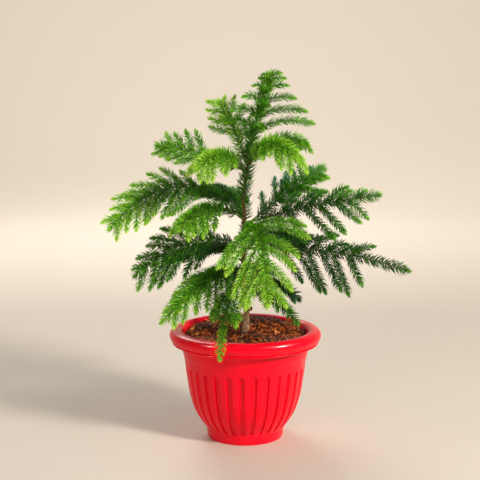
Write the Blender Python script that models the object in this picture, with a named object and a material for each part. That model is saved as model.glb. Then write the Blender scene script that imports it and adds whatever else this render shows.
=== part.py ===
"""A young Norfolk island pine in a fluted plastic pot.

The trunk stands in a pot filled with bark compost and carries four whorls of
drooping fronds under an upright leader. A frond is a bare tapering bough and a
mass of foliage: one stem with two ranks of side shoots, whose needles stand
out of slim three-sided cores. Metres, +Z up, the origin at the centre of the
pot's flat underside, the crown's brightest frond towards -Y.
"""

import math
from collections import namedtuple

import bmesh
import bpy
import numpy as np
from mathutils.bvhtree import BVHTree

MM = 0.001
UP = np.array([0.0, 0.0, 1.0])
CLEAR = 0.3 * MM  # gap between pieces that touch on the real plant

# Pot: moulded in one piece, with a rolled rim and a plain foot
RIM_RADIUS = 100 * MM
POT_HEIGHT = 146 * MM
FOOT_RADIUS = 50 * MM
WALL = 2.3 * MM
FLOOR = 3.4 * MM
FLUTES = 30
FLUTE_DEPTH = 1.8 * MM
FLUTE_TURN = math.radians(-93.8)  # bearing of the middle of one groove
FLUTE_FOOT = 14 * MM
FLUTE_HEAD = 98.5 * MM
BOWL = ((12.7, 51.6), (16, 54.0), (22, 58.4), (34, 65.7), (55, 73.0), (94.5, 79.3), (98.5, 79.8))
BAND = ((113, 82.8), (131, 83.6))
RIM = ((133.5, 86.5), (134, 95.6), (126.6, 97.2), (126.9, 98.8), (132, 100), (142, 98.4), (146, 92.5), (145.8, 86.5))
INNER_RIM = ((141, 82.0), (129, 79.3))
INSIDE = (55, 30, 18)
DRAIN_HOLES = 5
DRAIN_RADIUS = 3.5 * MM
DRAIN_CIRCLE = 31 * MM

# Compost: mounded round the trunk
SOIL_TOP = 141 * MM
SOIL_EDGE = 136 * MM
SOIL_FLAT = 9 * MM

# Trunk: height and sideways place of each bend, in millimetres
TRUNK_BENDS = ((141, 0.5), (165, 2), (185, 0), (202, -3), (245, -2.5), (290, -1.7), (320, -3), (366, 4))
TRUNK_FOOT = SOIL_TOP + CLEAR
TRUNK_TIP = 366 * MM
TRUNK_FOOT_RADIUS = 4.5 * MM
TRUNK_TIP_RADIUS = 2.0 * MM
FLARE = 2.0 * MM
FLARE_HEIGHT = 6 * MM
STUB_HEIGHT = 171 * MM
STUB_BEARING = math.radians(-35)
STUB_LENGTH = 8.5 * MM
STUB_RADIUS = 3.4 * MM

# Leader: from the trunk's tip to the top of the plant, with four ranks of shoots
LEADER_FOOT = np.array([4, 0, 366]) * MM
LEADER_TOP = np.array([34, 4, 484]) * MM
LEADER_BOW = np.array([-3, 0, 0]) * MM
Rank = namedtuple("Rank", "bearing first last number reach")
LEADER_RANKS = (
    Rank(5, 0.30, 0.93, 6, 100),
    Rank(180, 0.34, 0.92, 6, 88),
    Rank(-75, 0.30, 0.86, 4, 56),
    Rank(95, 0.22, 0.84, 4, 60),
)

# Fronds: sizes in millimetres, bearings and rolls in degrees. Height is where the
# frond leaves the trunk, rise is its tip above that, arch and sweep are the bow
# upwards and sideways, shoot is the longest side shoot, fill is how far along
# the shoots stay long, roll tips the frond's plane, hang bends the shoots down,
# and first and last are the shares of the frond that carry shoots.
Frond = namedtuple("Frond", "name height bearing reach rise arch sweep shoot fill roll hang pairs first last")
FRONDS = (
    Frond("crown_left", 357.5, 132, 62, 89, 4, -4, 42, 1.5, -55, 0.10, 4, 0.34, 0.92),
    Frond("crown_rear", 352.5, 160, 132, 31, 8, 14, 40, 1.5, -55, -0.10, 4, 0.38, 0.84),
    Frond("crown_front", 348.5, 232, 105, 10, 25, 2, 36, 2.5, -10, 0.60, 6, 0.30, 0.92),
    Frond("crown_right", 355, 312, 94, 16, 30, -6, 40, 2.0, 5, 0.65, 6, 0.30, 0.92),
    Frond("crown_back", 360, 35, 102, 22, 21, 4, 34, 2.0, 10, 0.30, 5, 0.30, 0.88),
    Frond("middle_left", 296, 195, 180, -17, 44, -30, 46, 2.4, -55, 0.22, 9, 0.24, 0.94),
    Frond("middle_front", 290, 228, 124, -6, 24, -8, 38, 2.0, -10, 0.75, 5, 0.30, 0.90),
    Frond("middle_right", 285, 348, 182, 42, 6, -20, 56, 1.4, 50, 0.30, 6, 0.22, 0.82),
    Frond("middle_back", 280, 44, 157, 68, 20, -24, 40, 1.2, 25, 0.00, 6, 0.26, 0.78),
    Frond("middle_near", 272, 280, 156, -72, 42, 6, 88, 0.9, 22, 0.40, 6, 0.16, 0.88),
    Frond("middle_rear", 290, 112, 150, 24, 18, 0, 46, 2.0, 0, 0.25, 6, 0.26, 0.90),
    Frond("lower_left", 256, 186, 147, -43, 28, 10, 54, 1.8, -50, 0.22, 7, 0.24, 0.90),
    Frond("lower_right", 252, 351, 220, -26, 9, 16, 58, 1.2, 50, 0.40, 6, 0.20, 0.66),
    Frond("lower_rear", 244, 132, 160, -30, 16, 0, 50, 2.0, 0, 0.25, 7, 0.17, 0.90),
    Frond("lower_back", 246, 62, 165, -14, 22, 0, 50, 2.0, 0, 0.25, 7, 0.17, 0.90),
    Frond("base_left", 214, 219, 136, -47, 34, 18, 42, 1.6, -25, 0.45, 6, 0.26, 0.88),
    Frond("base_front", 206, 257, 130, -77, 30, -4, 28, 1.2, -10, 0.60, 4, 0.34, 0.66),
    Frond("base_right", 190, 317, 97, -28, 22, -8, 22, 1.5, 10, 0.40, 3, 0.36, 0.74),
    Frond("base_side", 202, 10, 80, -26, 18, 0, 26, 1.5, 10, 0.40, 4, 0.34, 0.86),
    Frond("base_back", 208, 78, 120, -30, 24, 0, 38, 2.0, 0, 0.35, 5, 0.30, 0.88),
    Frond("base_rear", 205, 142, 104, -34, 24, 0, 36, 2.0, 0, 0.35, 5, 0.30, 0.88),
)

# Wood and needles
BOUGH_ROOT = 0.9 * MM
BOUGH_PER_REACH = 0.0035
BOUGH_TIP_SHARE = 0.8
STEM_TIP_RADIUS = 1.1 * MM
SHOOT_ROOT_RADIUS = 0.5 * MM
SHOOT_RADIUS = 1.3 * MM
TWIG_CLEAR = 1.5 * MM
NEEDLE = 10.5 * MM
NEEDLE_LEAN = math.radians(45)
SECTION = 25 * MM
STEM_SECTION = 22 * MM
TIP_SECTION = 0.35
NEEDLES_EACH = 4
SHOOT_BARE = 9 * MM
SHORTER = (1.0, 0.8, 0.62, 0.46)

Limb = namedtuple("Limb", "path root tip")
Twig = namedtuple("Twig", "path radii bare")


def clear_scene():
    for obj in list(bpy.data.objects):
        bpy.data.objects.remove(obj)


def material(name, hex_colour, roughness):
    """A plain Principled material from an sRGB hex colour."""
    made = bpy.data.materials.new(name)
    made.use_nodes = True
    channels = [int(hex_colour[i : i + 2], 16) / 255 for i in (0, 2, 4)]
    linear = [c / 12.92 if c <= 0.04045 else ((c + 0.055) / 1.055) ** 2.4 for c in channels]
    shader = made.node_tree.nodes["Principled BSDF"]
    shader.inputs["Base Color"].default_value = (*linear, 1.0)
    shader.inputs["Roughness"].default_value = roughness
    shader.inputs["Metallic"].default_value = 0.0
    return made


def add_object(name, points, faces, finish, smooth=None):
    """An object from points in world metres; smooth is the sharpest edge, in degrees, that stays soft."""
    mesh = bpy.data.meshes.new(name)
    mesh.from_pydata([tuple(map(float, p)) for p in points], [], [tuple(map(int, f)) for f in faces])
    mesh.materials.append(finish)
    if smooth is not None:
        mesh.shade_smooth()
        mesh.set_sharp_from_angle(angle=math.radians(smooth))
    obj = bpy.data.objects.new(name, mesh)
    bpy.context.scene.collection.objects.link(obj)
    return obj


def union_with_parts(obj, parts):
    """Joins the parts into the object with one Boolean union on their collection, then keeps its main body."""
    group = bpy.data.collections.new(obj.name + "_parts")
    bpy.context.scene.collection.children.link(group)
    for part in parts:
        bpy.context.scene.collection.objects.unlink(part)
        group.objects.link(part)
    join = obj.modifiers.new("join", "BOOLEAN")
    join.operation = "UNION"
    join.operand_type = "COLLECTION"
    join.collection = group
    join.solver = "EXACT"
    join.use_self = True
    apply_modifiers(obj)
    for part in parts:
        bpy.data.objects.remove(part)
    bpy.data.collections.remove(group)
    keep_main_body(obj.data)


def apply_modifiers(obj):
    bpy.context.view_layer.update()
    graph = bpy.context.evaluated_depsgraph_get()
    applied = bpy.data.meshes.new_from_object(obj.evaluated_get(graph))
    obj.modifiers.clear()
    obj.data = applied


def keep_main_body(mesh):
    """Fills sealed hollows and drops loose scraps: only the largest connected surface stays."""
    work = bmesh.new()
    work.from_mesh(mesh)
    left = set(work.verts)
    islands = []
    while left:
        island = {left.pop()}
        edge_of = list(island)
        while edge_of:
            vert = edge_of.pop()
            for edge in vert.link_edges:
                other = edge.other_vert(vert)
                if other in left:
                    left.discard(other)
                    island.add(other)
                    edge_of.append(other)
        islands.append(island)
    islands.sort(key=len)
    for island in islands[:-1]:
        bmesh.ops.delete(work, geom=list(island), context="VERTS")
    work.to_mesh(mesh)
    work.free()


def unit(vector):
    return vector / np.linalg.norm(vector)


def tangents(path):
    steps = np.gradient(path, axis=0)
    return steps / np.linalg.norm(steps, axis=1)[:, None]


def carried_frame(path):
    """Tangents of a path and two crosswise vectors that are carried along it without twisting."""
    along = tangents(path)
    seed = np.array([0.0, 1.0, 0.0]) if abs(along[0][2]) > 0.8 else UP
    across = [unit(np.cross(seed, along[0]))]
    for tangent in along[1:]:
        across.append(unit(across[-1] - np.dot(across[-1], tangent) * tangent))
    across = np.array(across)
    return along, across, np.cross(along, across)


def resampled(path, count):
    """The same path with points at equal distances."""
    lengths = np.concatenate([[0], np.cumsum(np.linalg.norm(np.diff(path, axis=0), axis=1))])
    wanted = np.linspace(0, lengths[-1], count)
    return np.stack([np.interp(wanted, lengths, path[:, k]) for k in range(3)], axis=1)


def path_length(path):
    return float(np.linalg.norm(np.diff(path, axis=0), axis=1).sum())


def ring_of(centre, across, up, radius, sides, turn=0.0):
    angles = turn + np.arange(sides) * 2 * math.pi / sides
    return centre + radius * (np.cos(angles)[:, None] * across + np.sin(angles)[:, None] * up)


def tube_faces(rings, sides):
    """Quads between rings of the same count of points, and a flat cap on each end."""
    faces = []
    for row in range(rings - 1):
        for k in range(sides):
            a = row * sides + k
            b = row * sides + (k + 1) % sides
            faces.append((a, b, b + sides, a + sides))
    faces.append(tuple(range(sides))[::-1])
    faces.append(tuple(range((rings - 1) * sides, rings * sides)))
    return faces


def turned_rows(rows, start, columns):
    """Quads that join rows of points round an axis; each row has the same count of columns."""
    faces = []
    for row in range(rows - 1):
        for k in range(columns):
            a = start + row * columns + k
            b = start + row * columns + (k + 1) % columns
            faces.append((a, b, b + columns, a + columns))
    return faces


# Pot and compost


def wall_radius(height):
    """Outer radius of the pot's body at a height, on the lands between the flutes."""
    points = np.array(BOWL + BAND) * MM
    return float(np.interp(height, points[:, 0], points[:, 1]))


def circle(radius, height, angles):
    radius = np.broadcast_to(radius, angles.shape)
    return np.stack([radius * np.cos(angles), radius * np.sin(angles), np.full(angles.shape, height)], axis=1)


def inside_profile():
    """Height and radius down the inside of the pot, from the rim to the corner of the floor."""
    rows = [(h * MM, r * MM) for h, r in INNER_RIM]
    rows += [(h * MM, wall_radius(h * MM) - FLUTE_DEPTH - WALL) for h in INSIDE]
    rows.append((FLOOR, FOOT_RADIUS - WALL - 1.5 * MM))
    return rows


def build_pot(finish):
    """Fine columns, three to a flute, on the body; half as many round the rim and the inside."""
    fine = FLUTES * 3
    coarse = fine // 2
    fine_angles = FLUTE_TURN + np.arange(fine) * 2 * math.pi / fine
    coarse_angles = fine_angles[::2]
    in_groove = np.arange(fine) % 3 == 0
    points = [circle(FOOT_RADIUS, 0.0, fine_angles)]
    for height, radius in BOWL:
        fluted = FLUTE_FOOT < height * MM < FLUTE_HEAD
        points.append(circle(radius * MM - FLUTE_DEPTH * in_groove * fluted, height * MM, fine_angles))
    points.append(circle(BAND[0][1] * MM, BAND[0][0] * MM, fine_angles))
    fine_rows = len(points)
    points.append(circle(BAND[1][1] * MM, BAND[1][0] * MM, coarse_angles))
    for height, radius in RIM:
        points.append(circle(radius * MM, height * MM, coarse_angles))
    for height, radius in inside_profile():
        points.append(circle(radius, height, coarse_angles))
    coarse_rows = len(points) - fine_rows
    underside = tuple(range(fine))[::-1]
    faces = [underside, *turned_rows(fine_rows, 0, fine)]
    upper = (fine_rows - 1) * fine
    start = fine_rows * fine
    for k in range(coarse):
        f0, f1, f2 = upper + 2 * k, upper + 2 * k + 1, upper + (2 * k + 2) % fine
        c0, c1 = start + k, start + (k + 1) % coarse
        faces += [(f0, f1, c0), (f1, c1, c0), (f1, f2, c1)]
    faces += turned_rows(coarse_rows, start, coarse)
    last = start + (coarse_rows - 1) * coarse
    faces.append(tuple(range(last, last + coarse)))
    pot = add_object("pot", np.concatenate(points), faces, finish, smooth=28)
    drill_drains(pot, finish)
    return pot


def drill_drains(pot, finish):
    """Round holes in a circle through the floor, clear of its middle."""
    group = bpy.data.collections.new("drain_cutters")
    bpy.context.scene.collection.children.link(group)
    sides = 8
    for k in range(DRAIN_HOLES):
        bearing = 2 * math.pi * (k + 0.5) / DRAIN_HOLES
        centre = DRAIN_CIRCLE * np.array([math.cos(bearing), math.sin(bearing), 0])
        ends = [centre + level * UP for level in (-2 * FLOOR, 2 * FLOOR)]
        points = [ring_of(end, np.array([1.0, 0, 0]), np.array([0, 1.0, 0]), DRAIN_RADIUS, sides) for end in ends]
        cutter = add_object("drain_cutter_%d" % k, np.concatenate(points), tube_faces(2, sides), finish)
        bpy.context.scene.collection.objects.unlink(cutter)
        group.objects.link(cutter)
        cutter.hide_render = True
        cutter.display_type = "WIRE"
    cut = pot.modifiers.new("drains", "BOOLEAN")
    cut.operation = "DIFFERENCE"
    cut.operand_type = "COLLECTION"
    cut.collection = group
    cut.solver = "EXACT"


def build_soil(finish):
    """Fills the pot a little clear of its inside and mounds up towards the trunk."""
    columns = FLUTES * 3 // 2
    angles = FLUTE_TURN + np.arange(columns) * 4 * math.pi / (FLUTES * 3)
    inside = inside_profile()[::-1]
    heights = [h for h, _ in inside]
    radii = [r for _, r in inside]
    levels = [FLOOR + CLEAR] + [h for h in heights[1:] if h < SOIL_EDGE - MM] + [SOIL_EDGE]
    rows = [circle(np.interp(level, heights, radii) - 1.5 * CLEAR, level, angles) for level in levels]
    halfway = (SOIL_FLAT + radii[-1]) / 2
    rows.append(circle(halfway, SOIL_TOP - 0.35 * (SOIL_TOP - SOIL_EDGE), angles))
    rows.append(circle(SOIL_FLAT, SOIL_TOP, angles))
    last = (len(rows) - 1) * columns
    faces = turned_rows(len(rows), 0, columns)
    faces += [tuple(range(columns))[::-1], tuple(range(last, last + columns))]
    return add_object("soil", np.concatenate(rows), faces, finish, smooth=40)


# Plan of the plant: the paths of its trunk, boughs, stems and shoots


def trunk_rings():
    """Heights of the trunk's rings: close together on the flare, then at even steps."""
    return np.concatenate([np.array([0, 3, 9]) * MM + TRUNK_FOOT, np.linspace(165 * MM, TRUNK_TIP - CLEAR, 13)])


def trunk_point(height):
    """Middle of the trunk at a height: its rings are eased from each bend to the next, with straight runs between."""
    bends = np.array(TRUNK_BENDS) * MM
    rings = trunk_rings()
    row = np.clip(np.searchsorted(bends[:, 0], rings) - 1, 0, len(bends) - 2)
    share = np.clip((rings - bends[row, 0]) / (bends[row + 1, 0] - bends[row, 0]), 0, 1)
    eased = share * share * (3 - 2 * share)
    sideways = np.interp(height, rings, bends[row, 1] + eased * (bends[row + 1, 1] - bends[row, 1]))
    return np.stack([sideways, np.zeros_like(sideways), height], axis=-1)


def trunk_radius(height):
    """Straight taper from foot to tip, and a flare that dies away above the soil."""
    share = (height - TRUNK_FOOT) / (TRUNK_TIP - TRUNK_FOOT)
    taper = TRUNK_FOOT_RADIUS + share * (TRUNK_TIP_RADIUS - TRUNK_FOOT_RADIUS)
    return taper + FLARE * np.exp(-(height - TRUNK_FOOT) / FLARE_HEIGHT)


def frond_axis(frond, share):
    """The frond's middle line: a straight run from trunk to tip, bowed upwards and sideways."""
    share = np.atleast_1d(share)[:, None]
    bearing = math.radians(frond.bearing)
    outward = np.array([math.cos(bearing), math.sin(bearing), 0])
    sideways = np.array([-math.sin(bearing), math.cos(bearing), 0])
    bow = 4 * share * (1 - share)
    reach = frond.reach * share * outward + frond.sweep * bow * sideways
    return trunk_point(frond.height * MM) + MM * (reach + (frond.rise * share + frond.arch * bow) * UP)


def leader_axis(share):
    share = np.atleast_1d(share)[:, None]
    return LEADER_FOOT + (LEADER_TOP - LEADER_FOOT) * share + 4 * share * (1 - share) * LEADER_BOW


def stem_line(axis, start):
    """Shares and points of the rings of a stem from its start to the axis's tip; the last step is a short point."""
    sections = max(2, round(path_length(axis(np.linspace(start, 1, 9))) / STEM_SECTION))
    steps = np.append(np.arange(sections + 1), sections + TIP_SECTION)
    shares = start + (1 - start) * steps / steps[-1]
    return shares, axis(shares)


def root_and_tangent(stem, share):
    """A point on the line through a stem's rings and the direction in which it runs there."""
    shares, points = stem
    before, here, after = (
        np.array([np.interp(place, shares, points[:, k]) for k in range(3)])
        for place in (share - 0.03, share, share + 0.03)
    )
    return here, unit(after - before)


def frond_shoots(frond, stem, rng):
    """Side shoots in pairs: they leave in the frond's plane, lean forwards and bend down with their own weight."""
    shoots = []
    for pair in range(frond.pairs):
        for side in (1, -1):
            place = (pair + 0.5 + 0.2 * side + rng.uniform(-0.1, 0.1)) / frond.pairs
            share = frond.first + (frond.last - frond.first) * place
            outer = (share - frond.first) / (1 - frond.first)
            length = frond.shoot * MM * min(1, 0.75 + 1.5 * outer) * (0.3 + 0.7 * (1 - outer**frond.fill))
            length *= rng.uniform(0.86, 1.10)
            root, along = root_and_tangent(stem, share)
            level = unit(np.cross(UP, along))
            roll = math.radians(frond.roll + rng.uniform(-11, 11) * side)
            across = side * (math.cos(roll) * level + math.sin(roll) * np.cross(along, level))
            lean = math.radians(68 - 26 * share + rng.uniform(-8, 8))
            start = math.cos(lean) * along + math.sin(lean) * across
            shoots.append((root, length, start, 0.15 * along - frond.hang * UP))
    return shoots


def leader_shoots(stem, rng):
    """Shoots in ranks round the leader, shorter towards its top, which rise and then bow outwards."""
    shoots = []
    lean = math.radians(48)
    for rank in LEADER_RANKS:
        for k in range(rank.number):
            place = 1 - (1 - k / (rank.number - 1)) ** 1.5
            share = rank.first + (rank.last - rank.first) * place + rng.uniform(-0.015, 0.015)
            bearing = math.radians(rank.bearing + rng.uniform(-15, 15))
            length = ((1 - share) * rank.reach + 9) * MM * rng.uniform(0.92, 1.08)
            root, along = root_and_tangent(stem, share)
            outward = np.array([math.cos(bearing), math.sin(bearing), 0])
            start = math.cos(lean) * along + math.sin(lean) * outward
            shoots.append((root, length, start, 0.2 * outward - 0.52 * UP))
    return shoots


def shoot_path(root, length, start, bend, points=9):
    """A path that leaves along start and bends as the square of the distance."""
    share = np.linspace(0, 1, points)[:, None]
    return root + length * (share * start + share * share * bend)


def clear_of_pot(path, radius):
    """True where a path stays above the rim and the soil, or outside the rim."""
    outward = np.hypot(path[:, 0], path[:, 1])
    height = path[:, 2]
    margin = radius + 1.5 * MM
    above_rim = height > POT_HEIGHT + margin
    outside = outward > RIM_RADIUS + margin
    within = (outward < INNER_RIM[0][1] * MM - margin) & (height > SOIL_TOP + margin)
    return bool((above_rim | outside | within).all()) and height.min() > margin


class Space:
    """What the twigs placed so far take up, as closely spaced points with a radius and an owner."""

    def __init__(self):
        self.points = np.zeros((0, 3))
        self.radii = np.zeros(0)
        self.owners = np.zeros(0, int)

    def dense(self, path):
        return resampled(path, max(3, int(path_length(path) / (1.5 * MM))))

    def take(self, path, radius, owner):
        dense = self.dense(path)
        self.points = np.concatenate([self.points, dense])
        self.radii = np.concatenate([self.radii, np.full(len(dense), radius)])
        self.owners = np.concatenate([self.owners, np.full(len(dense), owner)])

    def free(self, path, radius, owner):
        others = self.owners != owner
        dense = self.dense(path)
        apart = np.linalg.norm(dense[:, None] - self.points[others][None], axis=2)
        return bool((apart > radius + self.radii[others] + TWIG_CLEAR).all())


def bough_limb(frond):
    """The frond's bare foot, from just clear of the trunk to just short of the mass."""
    root_radius = BOUGH_ROOT + BOUGH_PER_REACH * frond.reach * MM
    shares = np.linspace(0, 0.2, 401)
    points = frond_axis(frond, shares)
    room = np.linalg.norm(points - trunk_point(points[:, 2]), axis=1) - trunk_radius(points[:, 2])
    start = shares[np.argmax(room > 1.2 * CLEAR)]
    path = frond_axis(frond, np.linspace(start, frond.first - 0.02, 4))
    return Limb(path, root_radius, BOUGH_TIP_SHARE * root_radius)


def stem_twig(stem, root_radius, bare):
    shares, points = stem
    radii = np.linspace(root_radius, STEM_TIP_RADIUS, len(points) - 1)
    return Twig(points, radii, (bare - shares[0]) / (1 - shares[0]))


def shoot_twig(path):
    """A shoot swells from a narrow root inside its stem and has rings at equal steps."""
    sections = max(1, round(path_length(path) / SECTION))
    fine = resampled(path, 20 * sections + round(20 * TIP_SECTION) + 1)
    points = fine[[*range(0, 20 * sections + 1, 20), -1]]
    radii = np.append(SHOOT_ROOT_RADIUS, np.linspace(SHOOT_RADIUS, 0.75 * SHOOT_RADIUS, sections))
    return Twig(points, radii, SHOOT_BARE / path_length(path))


def plan_plant():
    """Boughs by frond name, and the twigs of each mass: its stem first, then every shoot that finds room."""
    space = Space()
    trunk_heights = np.linspace(TRUNK_FOOT, TRUNK_TIP - 2 * MM, 60)
    space.take(trunk_point(trunk_heights), TRUNK_TIP_RADIUS + 0.5 * MM, -1)
    leader_stem = stem_line(leader_axis, CLEAR / np.linalg.norm(LEADER_TOP - LEADER_FOOT))
    space.take(leader_stem[1], STEM_TIP_RADIUS, 0)
    boughs = {}
    masses = {"leader": [stem_twig(leader_stem, TRUNK_TIP_RADIUS, 0.9)]}
    wanted = {"leader": leader_shoots(leader_stem, np.random.default_rng(5))}
    for owner, frond in enumerate(FRONDS, start=1):
        bough = bough_limb(frond)
        gap = CLEAR / np.linalg.norm(frond_axis(frond, 1.0)[0] - frond_axis(frond, 0.0)[0])
        stem = stem_line(lambda share, frond=frond: frond_axis(frond, share), frond.first - 0.02 + gap)
        boughs[frond.name] = bough
        masses[frond.name] = [stem_twig(stem, bough.tip, frond.last)]
        wanted[frond.name] = frond_shoots(frond, stem, np.random.default_rng(99 + owner))
        space.take(resampled(bough.path, 9)[3:], bough.root, -1 - owner)
        space.take(stem[1], bough.tip, owner)
    for owner, (name, shoots) in enumerate(wanted.items()):
        for root, length, start, bend in shoots:
            for share in SHORTER:
                path = shoot_path(root, share * length, start, bend)
                if space.free(path, SHOOT_RADIUS, owner) and clear_of_pot(path, SHOOT_RADIUS):
                    space.take(path, SHOOT_RADIUS, owner)
                    masses[name].append(shoot_twig(path))
                    break
    return boughs, masses


# Trunk and boughs


def build_trunk(finish):
    """A round tapering trunk, cut flat at the soil, with the stub of one pruned branch."""
    sides = 9
    heights = trunk_rings()
    centres = trunk_point(heights)
    east, north = np.array([1.0, 0, 0]), np.array([0, 1.0, 0])
    rings = [ring_of(c, east, north, trunk_radius(h), sides) for c, h in zip(centres, heights)]
    trunk = add_object("trunk", np.concatenate(rings), tube_faces(len(rings), sides), finish, smooth=60)
    outward = np.array([math.cos(STUB_BEARING), math.sin(STUB_BEARING), 0.25])
    root = trunk_point(STUB_HEIGHT)
    along = unit(outward)
    across = unit(np.cross(UP, along))
    stub_sides = 8
    profile = ((0.0, 0.8), (0.75, 0.95), (1.0, 1.0), (1.0, 0.55), (0.86, 0.4))
    points = [
        ring_of(root + share * STUB_LENGTH * along, across, np.cross(along, across), width * STUB_RADIUS, stub_sides)
        for share, width in profile
    ]
    stub = add_object("stub", np.concatenate(points), tube_faces(len(profile), stub_sides), finish)
    union_with_parts(trunk, [stub])
    return trunk


def build_bough(name, bough, finish):
    """A round tapering limb; its root faces the trunk squarely and its tip faces the stem of its mass."""
    sides = 5
    along, across, up = carried_frame(bough.path)
    level = unit(np.cross(UP, bough.path[0] - trunk_point(bough.path[0][2])))
    radii = np.linspace(bough.root, bough.tip, len(bough.path))
    rings = [ring_of(bough.path[0], level, UP, radii[0], sides)]
    rings += [ring_of(c, a, u, r, sides) for c, a, u, r in zip(bough.path[1:], across[1:], up[1:], radii[1:])]
    faces = tube_faces(len(rings), sides)
    return add_object("bough_" + name, np.concatenate(rings), faces, finish, smooth=60)


# Foliage


def twig_mesh(twig, rng):
    """A three-sided core whose rings alternate by a sixth of a turn, drawn to a point.

    Each ring is joined to the next by six triangles. A needle is a triangle
    raised to a point that leans forwards, past the bare share of the twig.
    Returned are the points, the faces, and the needles as (face number, point).
    """
    centres = twig.path[:-1]
    _, across, up = carried_frame(centres)
    turn = rng.uniform(0, 2 * math.pi)
    rings = [
        ring_of(centre, across[k], up[k], twig.radii[k], 3, turn + k * math.pi / 3)
        for k, centre in enumerate(centres)
    ]
    points = np.concatenate([*rings, twig.path[-1:]])
    sections = len(rings) - 1
    faces = [(2, 1, 0)]
    needles = []
    for k in range(sections):
        for side in range(3):
            a, b = 3 * k + side, 3 * k + (side + 1) % 3
            faces += [(a, b, a + 3), (b, b + 3, a + 3)]
        run = centres[k + 1] - centres[k]
        along = unit(run)
        for number in rng.choice(np.arange(len(faces) - 6, len(faces)), NEEDLES_EACH, replace=False):
            centre = points[list(faces[number])].mean(axis=0)
            from_ring = centre - centres[k]
            step = np.dot(from_ring, along) / np.linalg.norm(run)
            outward = unit(from_ring - np.dot(from_ring, along) * along)
            size = NEEDLE * rng.uniform(0.9, 1.1)
            tip = centre + size * (math.cos(NEEDLE_LEAN) * along + math.sin(NEEDLE_LEAN) * outward)
            if (k + step) / (sections + TIP_SECTION) > twig.bare:
                needles.append((int(number), tip))
    last = 3 * sections
    tip = len(points) - 1
    faces += [(last, last + 1, tip), (last + 1, last + 2, tip), (last + 2, last, tip)]
    return points, faces, needles


def with_needles_raised(points, faces, needles):
    """The mesh with each needle's face replaced by the three sides of its point."""
    raised = list(map(tuple, points))
    kept = dict(enumerate(faces))
    sides = []
    for number, tip in needles:
        a, b, c = kept.pop(number)
        raised.append(tuple(tip))
        top = len(raised) - 1
        sides += [(a, b, top), (b, c, top), (c, a, top)]
    return raised, list(kept.values()) + sides


def needles_with_room(points, faces, needles, obstacles):
    """Leaves out each needle that would come close to another piece."""
    if not needles:
        return needles
    grown, owners, corners = [], [], []
    for index, (number, tip) in enumerate(needles):
        base = points[list(faces[number])]
        centre = base.mean(axis=0)
        reach = unit(tip - centre)
        wide = [p + 0.6 * MM * unit(p - centre) for p in base]
        start = len(corners)
        corners += [*wide, tip + 0.8 * MM * reach]
        grown += [(start, start + 1, start + 3), (start + 1, start + 2, start + 3), (start + 2, start, start + 3)]
        owners += [index] * 3
    tree = BVHTree.FromPolygons([tuple(map(float, c)) for c in corners], grown)
    struck = {owners[mine] for mine, _ in tree.overlap(obstacles)}
    return [needle for index, needle in enumerate(needles) if index not in struck]


def tree_of(meshes):
    """One search tree over the faces of many meshes."""
    points, faces = [], []
    for mesh_points, mesh_faces in meshes:
        start = len(points)
        points += [tuple(map(float, p)) for p in mesh_points]
        faces += [tuple(start + i for i in face) for face in mesh_faces]
    return BVHTree.FromPolygons(points, faces)


def mesh_of(obj):
    """An object's points and faces as drawn, with its modifiers."""
    bpy.context.view_layer.update()
    made = obj.evaluated_get(bpy.context.evaluated_depsgraph_get()).to_mesh()
    return [tuple(v.co) for v in made.vertices], [tuple(p.vertices) for p in made.polygons]


def build_masses(masses, solid_objects, finishes):
    """One node for each mass: bare cores are laid out first, then needles go on where they have room."""
    cores = {}
    for number, (name, twigs) in enumerate(masses.items()):
        rng = np.random.default_rng(900 + number)
        cores[name] = [twig_mesh(twig, rng) for twig in twigs]
    solids = [mesh_of(obj) for obj in solid_objects]
    placed = {name: [(p, f) for p, f, _ in meshes] for name, meshes in cores.items()}
    for name, meshes in cores.items():
        others = [mesh for other, made in placed.items() if other != name for mesh in made]
        obstacles = tree_of(solids + others)
        placed[name] = [
            with_needles_raised(p, f, needles_with_room(p, f, needles, obstacles)) for p, f, needles in meshes
        ]
    for name, meshes in placed.items():
        finish = finishes[name.split("_")[0]]
        stem = add_object("foliage_" + name, *meshes[0], finish)
        parts = [add_object("shoot_%s_%d" % (name, k), *mesh, finish) for k, mesh in enumerate(meshes[1:])]
        union_with_parts(stem, parts)


def main():
    clear_scene()
    plastic = material("pot_plastic", "D81832", 0.35)
    compost = material("bark_compost", "6E3A1C", 0.95)
    bark = material("trunk_bark", "7A5636", 0.85)
    twig_bark = material("bough_bark", "4E5A28", 0.8)
    greens = {
        "leader": material("needles_leader", "5C9630", 0.6),
        "crown": material("needles_crown", "6CA62E", 0.6),
        "middle": material("needles_middle", "3F7A26", 0.6),
        "lower": material("needles_lower", "2C5E22", 0.6),
        "base": material("needles_base", "3A7030", 0.6),
    }
    solid = [build_pot(plastic), build_soil(compost), build_trunk(bark)]
    boughs, masses = plan_plant()
    solid += [build_bough(name, bough, twig_bark) for name, bough in boughs.items()]
    build_masses(masses, solid, greens)


main()
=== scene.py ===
"""A potted Norfolk island pine: every needle, the bark, the moulded pot and its compost.

The file is laid out as a Blender add-on. Each operator makes one piece or one
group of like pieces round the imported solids, which stay the fixed frame.
Metres, +Z up, the pot's underside at the origin.
"""

import math
from collections import namedtuple

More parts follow.
